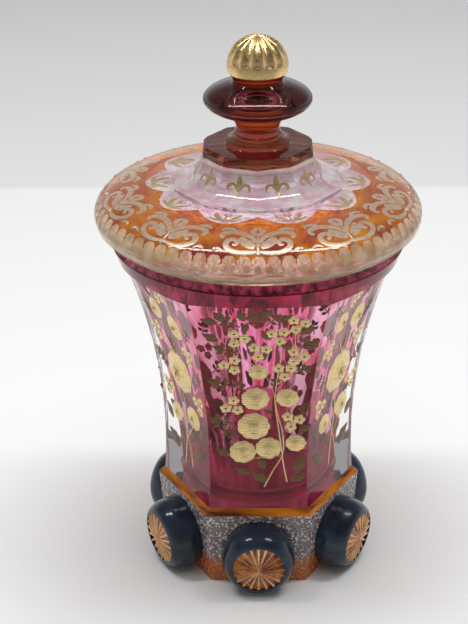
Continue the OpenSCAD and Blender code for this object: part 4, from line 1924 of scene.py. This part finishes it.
@dataclass
class Finial:
    """The amber collar, stem and disc knop, and the fluted gilt ball on top."""

    dresser: Dresser
    sides: int = 10
    azimuth_step: float = 1.0
    collar_bevel: float = 1.2
    collar_round: float = 0.2
    stem_foot_r: float = 10.6
    stem_r: float = 7.25
    stem_foot_h: float = 6.4
    stem_round: float = 0.75
    stem_edge: float = 0.3
    stem_rows: int = 14
    disc_t: float = 12.2
    disc_turn: float = 60.0
    disc_rows: int = 48
    throat_r: float = 8.2
    throat_h: float = 3.0
    throat_low: float = 0.6
    throat_round: float = 0.2
    ball_r: float = 10.1
    ball_drop: float = 2.0
    ball_rows: int = 64
    ball_end: float = 89.0
    ball_flutes: int = 16
    flute_columns: int = 16
    flute_depth: float = 0.7
    flute_start: float = 7.0
    flute_full: float = 60.0
    flute_curve: float = 0.7
    joint_gap: float = 0.04

    def __post_init__(self) -> None:
        """Takes the main sizes from the frame."""
        self.collar_low = low_of("finial_collar")
        self.collar_z = top_of("finial_collar")
        self.collar_r = -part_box("finial_collar")[0].y / MM
        self.disc_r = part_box("finial_stem")[1].x / MM
        self.throat_top = top_of("finial_stem")
        self.disc_z = self.throat_top - self.throat_h - self.disc_t / 2
        self.ball_z = self.throat_top + self.ball_drop

    def amber(self) -> None:
        """Builds and dresses the collar and stem, which are fused into one lump."""
        amber, collar, knop, joint = range(4)
        azimuth = np.arange(0, 360, self.azimuth_step)
        pitch = 360 / self.sides
        bend = np.cos(np.radians(azimuth % pitch - pitch / 2))
        facet = math.cos(math.pi / self.sides) / bend
        low = self.collar_low + self.joint_gap
        rings = [pole(low), polar(azimuth, (self.collar_r - self.collar_round) * facet, low),
                 polar(azimuth, self.collar_r * facet, low + self.collar_round),
                 polar(azimuth, self.collar_r * facet, self.collar_z - self.collar_bevel),
                 polar(azimuth, (self.collar_r - self.collar_bevel) * facet, self.collar_z)]
        foot_z = self.collar_z + self.stem_foot_h
        rows = [(self.stem_foot_r + self.stem_edge, self.collar_z),
                (self.stem_foot_r, self.collar_z + self.stem_edge)]
        rows += arc(self.stem_foot_r, foot_z, self.stem_foot_r - self.stem_r,
                    self.stem_foot_h * self.stem_round, np.linspace(270, 180, self.stem_rows))
        rows += arc(0.0, self.disc_z, self.disc_r, self.disc_t / 2,
                    np.linspace(-self.disc_turn, self.disc_turn, self.disc_rows))
        seat_r = math.sqrt(self.ball_r**2 - self.ball_drop**2)
        rows += [(self.throat_r, self.throat_top - self.throat_h),
                 (self.throat_r + self.throat_round, self.throat_top - self.throat_h * self.throat_low),
                 (seat_r - self.throat_round, self.throat_top)]
        rings += [polar(azimuth, r, z) for r, z in rows] + [pole(self.throat_top)]
        bands = [joint] + [collar] * 4 + [amber] * (self.stem_rows + 2)
        bands += [knop] * (self.disc_rows - 1) + [amber] * 4
        obj = Skin.over(rings, bands).to_object("finial_amber_glass", sharp=30)
        finishes = [Finish.AMBER, Finish.COLLAR, Finish.KNOP, Finish.JOINT]
        self.dresser.dress(obj, finishes, Body.COVER, Slot.AMBER, ("finial_collar", "finial_stem"))

    def ball(self) -> None:
        """Builds and dresses the fluted ball."""
        azimuth = np.arange(0, 360, 360 / (self.ball_flutes * self.flute_columns))
        turn = azimuth * self.ball_flutes / 360
        across = 2 * (turn - np.round(turn))
        low = -math.degrees(math.asin(self.ball_drop / self.ball_r))
        rings = [pole(self.ball_z - self.ball_drop + self.joint_gap)]
        for lat in np.linspace(low, self.ball_end, self.ball_rows):
            runout = min(1.0, max(0.0, (lat - self.flute_start) / self.flute_start)) ** self.flute_curve
            crowd = min(1.0, math.cos(math.radians(lat)) / math.cos(math.radians(self.flute_full)))
            r = self.ball_r - self.flute_depth * runout * crowd * (1 - across**2)
            a = math.radians(lat)
            lift = self.joint_gap if lat == low else 0.0
            rings.append(polar(azimuth, r * math.cos(a), self.ball_z + r * math.sin(a) + lift))
        rings.append(pole(self.ball_z + self.ball_r))
        obj = Skin.over(rings).to_object("finial_gilt_ball", sharp=30)
        self.dresser.dress(obj, [Finish.GOLD], Body.COVER, Slot.GILDING, ("finial_ball",))


@dataclass
class Studio:
    """Pale floor, soft light and the camera."""

    floor_edge: float = 0.348
    edge_blur: float = 0.006
    floor_half: float = 6.0
    floor_rough: float = 0.6
    floor_gloss: float = 0.2
    floor_white: Colour = (0.90, 0.90, 0.90)
    far_grey: Colour = (0.79, 0.79, 0.795)
    near_grey: Colour = (0.48, 0.48, 0.48)
    near_edge: tuple[float, float] = (-0.05, -0.14)
    camera_at: Point = (0.0, -0.5373, 0.3485)
    aim_at: Point = (-0.0083, -0.0032, 0.0930)
    roll: float = -0.494
    lens: float = 99.26
    sensor: float = 36.0
    clip: tuple[float, float] = (0.01, 50.0)
    back_light: float = 0.85
    front_light: float = 0.42
    # Share of the room's light that is left high above the horizon
    ceiling: float = 0.3
    # Where the room's light turns, from front to back and from the horizon up
    room_turn: tuple[float, float] = (-0.75, 0.3)
    ceiling_turn: tuple[float, float] = (0.1, 0.45)
    glass_layers: int = 28
    mirrorings: int = 12
    # Softboxes as name, place, target, width, depth, power and whether they are mirrored in the glass
    softboxes: tuple = (("overhead", (0.1, -0.15, 1.25), (0.0, 0.0, 0.1), 1.3, 1.0, 5.2, False),
                        ("strip", (0.0, 0.0, 1.1), (0.0, 0.05, 0.1), 1.5, 0.1, 9.5, True))

    def floor(self) -> None:
        """Lays the floor, white around the object, pale grey behind it and greyer towards the camera."""
        h = self.floor_half
        mesh = bpy.data.meshes.new("floor")
        mesh.from_pydata([(-h, -h, 0), (h, -h, 0), (h, h, 0), (-h, h, 0)], [], [(0, 1, 2, 3)])
        obj = link("floor", mesh)
        pen = MaterialPen("pale_floor")
        back = pen.add("ShaderNodeSeparateXYZ", {0: pen.place()}).outputs["Y"]
        far = pen.spread(back, (self.floor_edge, self.floor_edge + self.edge_blur), (0.0, 1.0))
        near = pen.spread(back, self.near_edge, (0.0, 1.0))
        colour = pen.blend(near, (*self.floor_white, 1.0), (*self.near_grey, 1.0))
        colour = pen.blend(far, colour, (*self.far_grey, 1.0))
        pen.fill(pen.shader, {"Base Color": colour, "Roughness": self.floor_rough,
                              "Specular IOR Level": self.floor_gloss})
        mesh.materials.append(pen.material)

    def world(self) -> None:
        """Makes a soft room: pale behind the object and dimmer behind the camera."""
        world = bpy.data.worlds.new("soft_room")
        bpy.context.scene.world = world
        world.use_nodes = True
        pen = TreePen(world.node_tree)
        sky = world.node_tree.nodes["Background"]
        way = pen.add("ShaderNodeSeparateXYZ", {0: pen.add("ShaderNodeTexCoord").outputs["Generated"]})
        room = pen.spread(way.outputs["Y"], self.room_turn, (self.front_light, self.back_light))
        high = pen.spread(way.outputs["Z"], self.ceiling_turn, (1.0, self.ceiling))
        pen.fill(sky, {"Strength": pen.sum("MULTIPLY", room, high), "Color": (1.0, 1.0, 1.0, 1.0)})

    def lights(self) -> None:
        """Hangs the softboxes."""
        for name, place, target, width, depth, power, mirrored in self.softboxes:
            light = bpy.data.lights.new(name, "AREA")
            light.shape = "RECTANGLE"
            light.size, light.size_y, light.energy = width, depth, power
            obj = link(name, light)
            obj.visible_glossy = mirrored
            obj.location = place
            obj.rotation_euler = (Vector(target) - Vector(place)).to_track_quat("-Z", "Y").to_euler()

    def camera(self) -> None:
        """Sets up the camera at the photographed angle."""
        data = bpy.data.cameras.new("camera")
        data.lens, data.sensor_width = self.lens, self.sensor
        data.clip_start, data.clip_end = self.clip
        obj = link("camera", data)
        look = (Vector(self.aim_at) - Vector(self.camera_at)).to_track_quat("-Z", "Y")
        turn = Matrix.Rotation(math.radians(self.roll), 4, "Z")
        obj.matrix_world = Matrix.Translation(self.camera_at) @ look.to_matrix().to_4x4() @ turn
        bpy.context.scene.camera = obj

    def build(self) -> None:
        """Builds the studio and lets light pass many layers of glass."""
        for name in ("Cube", "Light", "Camera"):
            if name in bpy.data.objects:
                bpy.data.objects.remove(bpy.data.objects[name])
        self.floor()
        self.world()
        self.lights()
        self.camera()
        scene = bpy.context.scene
        scene.view_settings.view_transform = "Standard"
        scene.cycles.max_bounces = self.glass_layers
        scene.cycles.transmission_bounces = self.glass_layers
        scene.cycles.glossy_bounces = self.mirrorings


def main() -> None:
    """Builds the studio and every piece of the covered beaker."""
    logging.basicConfig(level=logging.INFO, format="%(name)s %(message)s")
    Studio().build()
    book = FinishBook()
    dresser = Dresser(book)
    nodes = NodeWork(book)
    wheel = Wheel()
    bowl = Bowl(dresser, wheel)
    bowl.casing()
    bowl.lining()
    foot = Foot(dresser, nodes)
    foot.block()
    foot.prunts()
    PanelGilding(dresser, nodes, wheel).build()
    cover = Cover(dresser)
    cover.bell()
    CoverGilding(dresser, nodes, cover).build()
    finial = Finial(dresser)
    finial.amber()
    finial.ball()


if __name__ == "__main__":
    main()
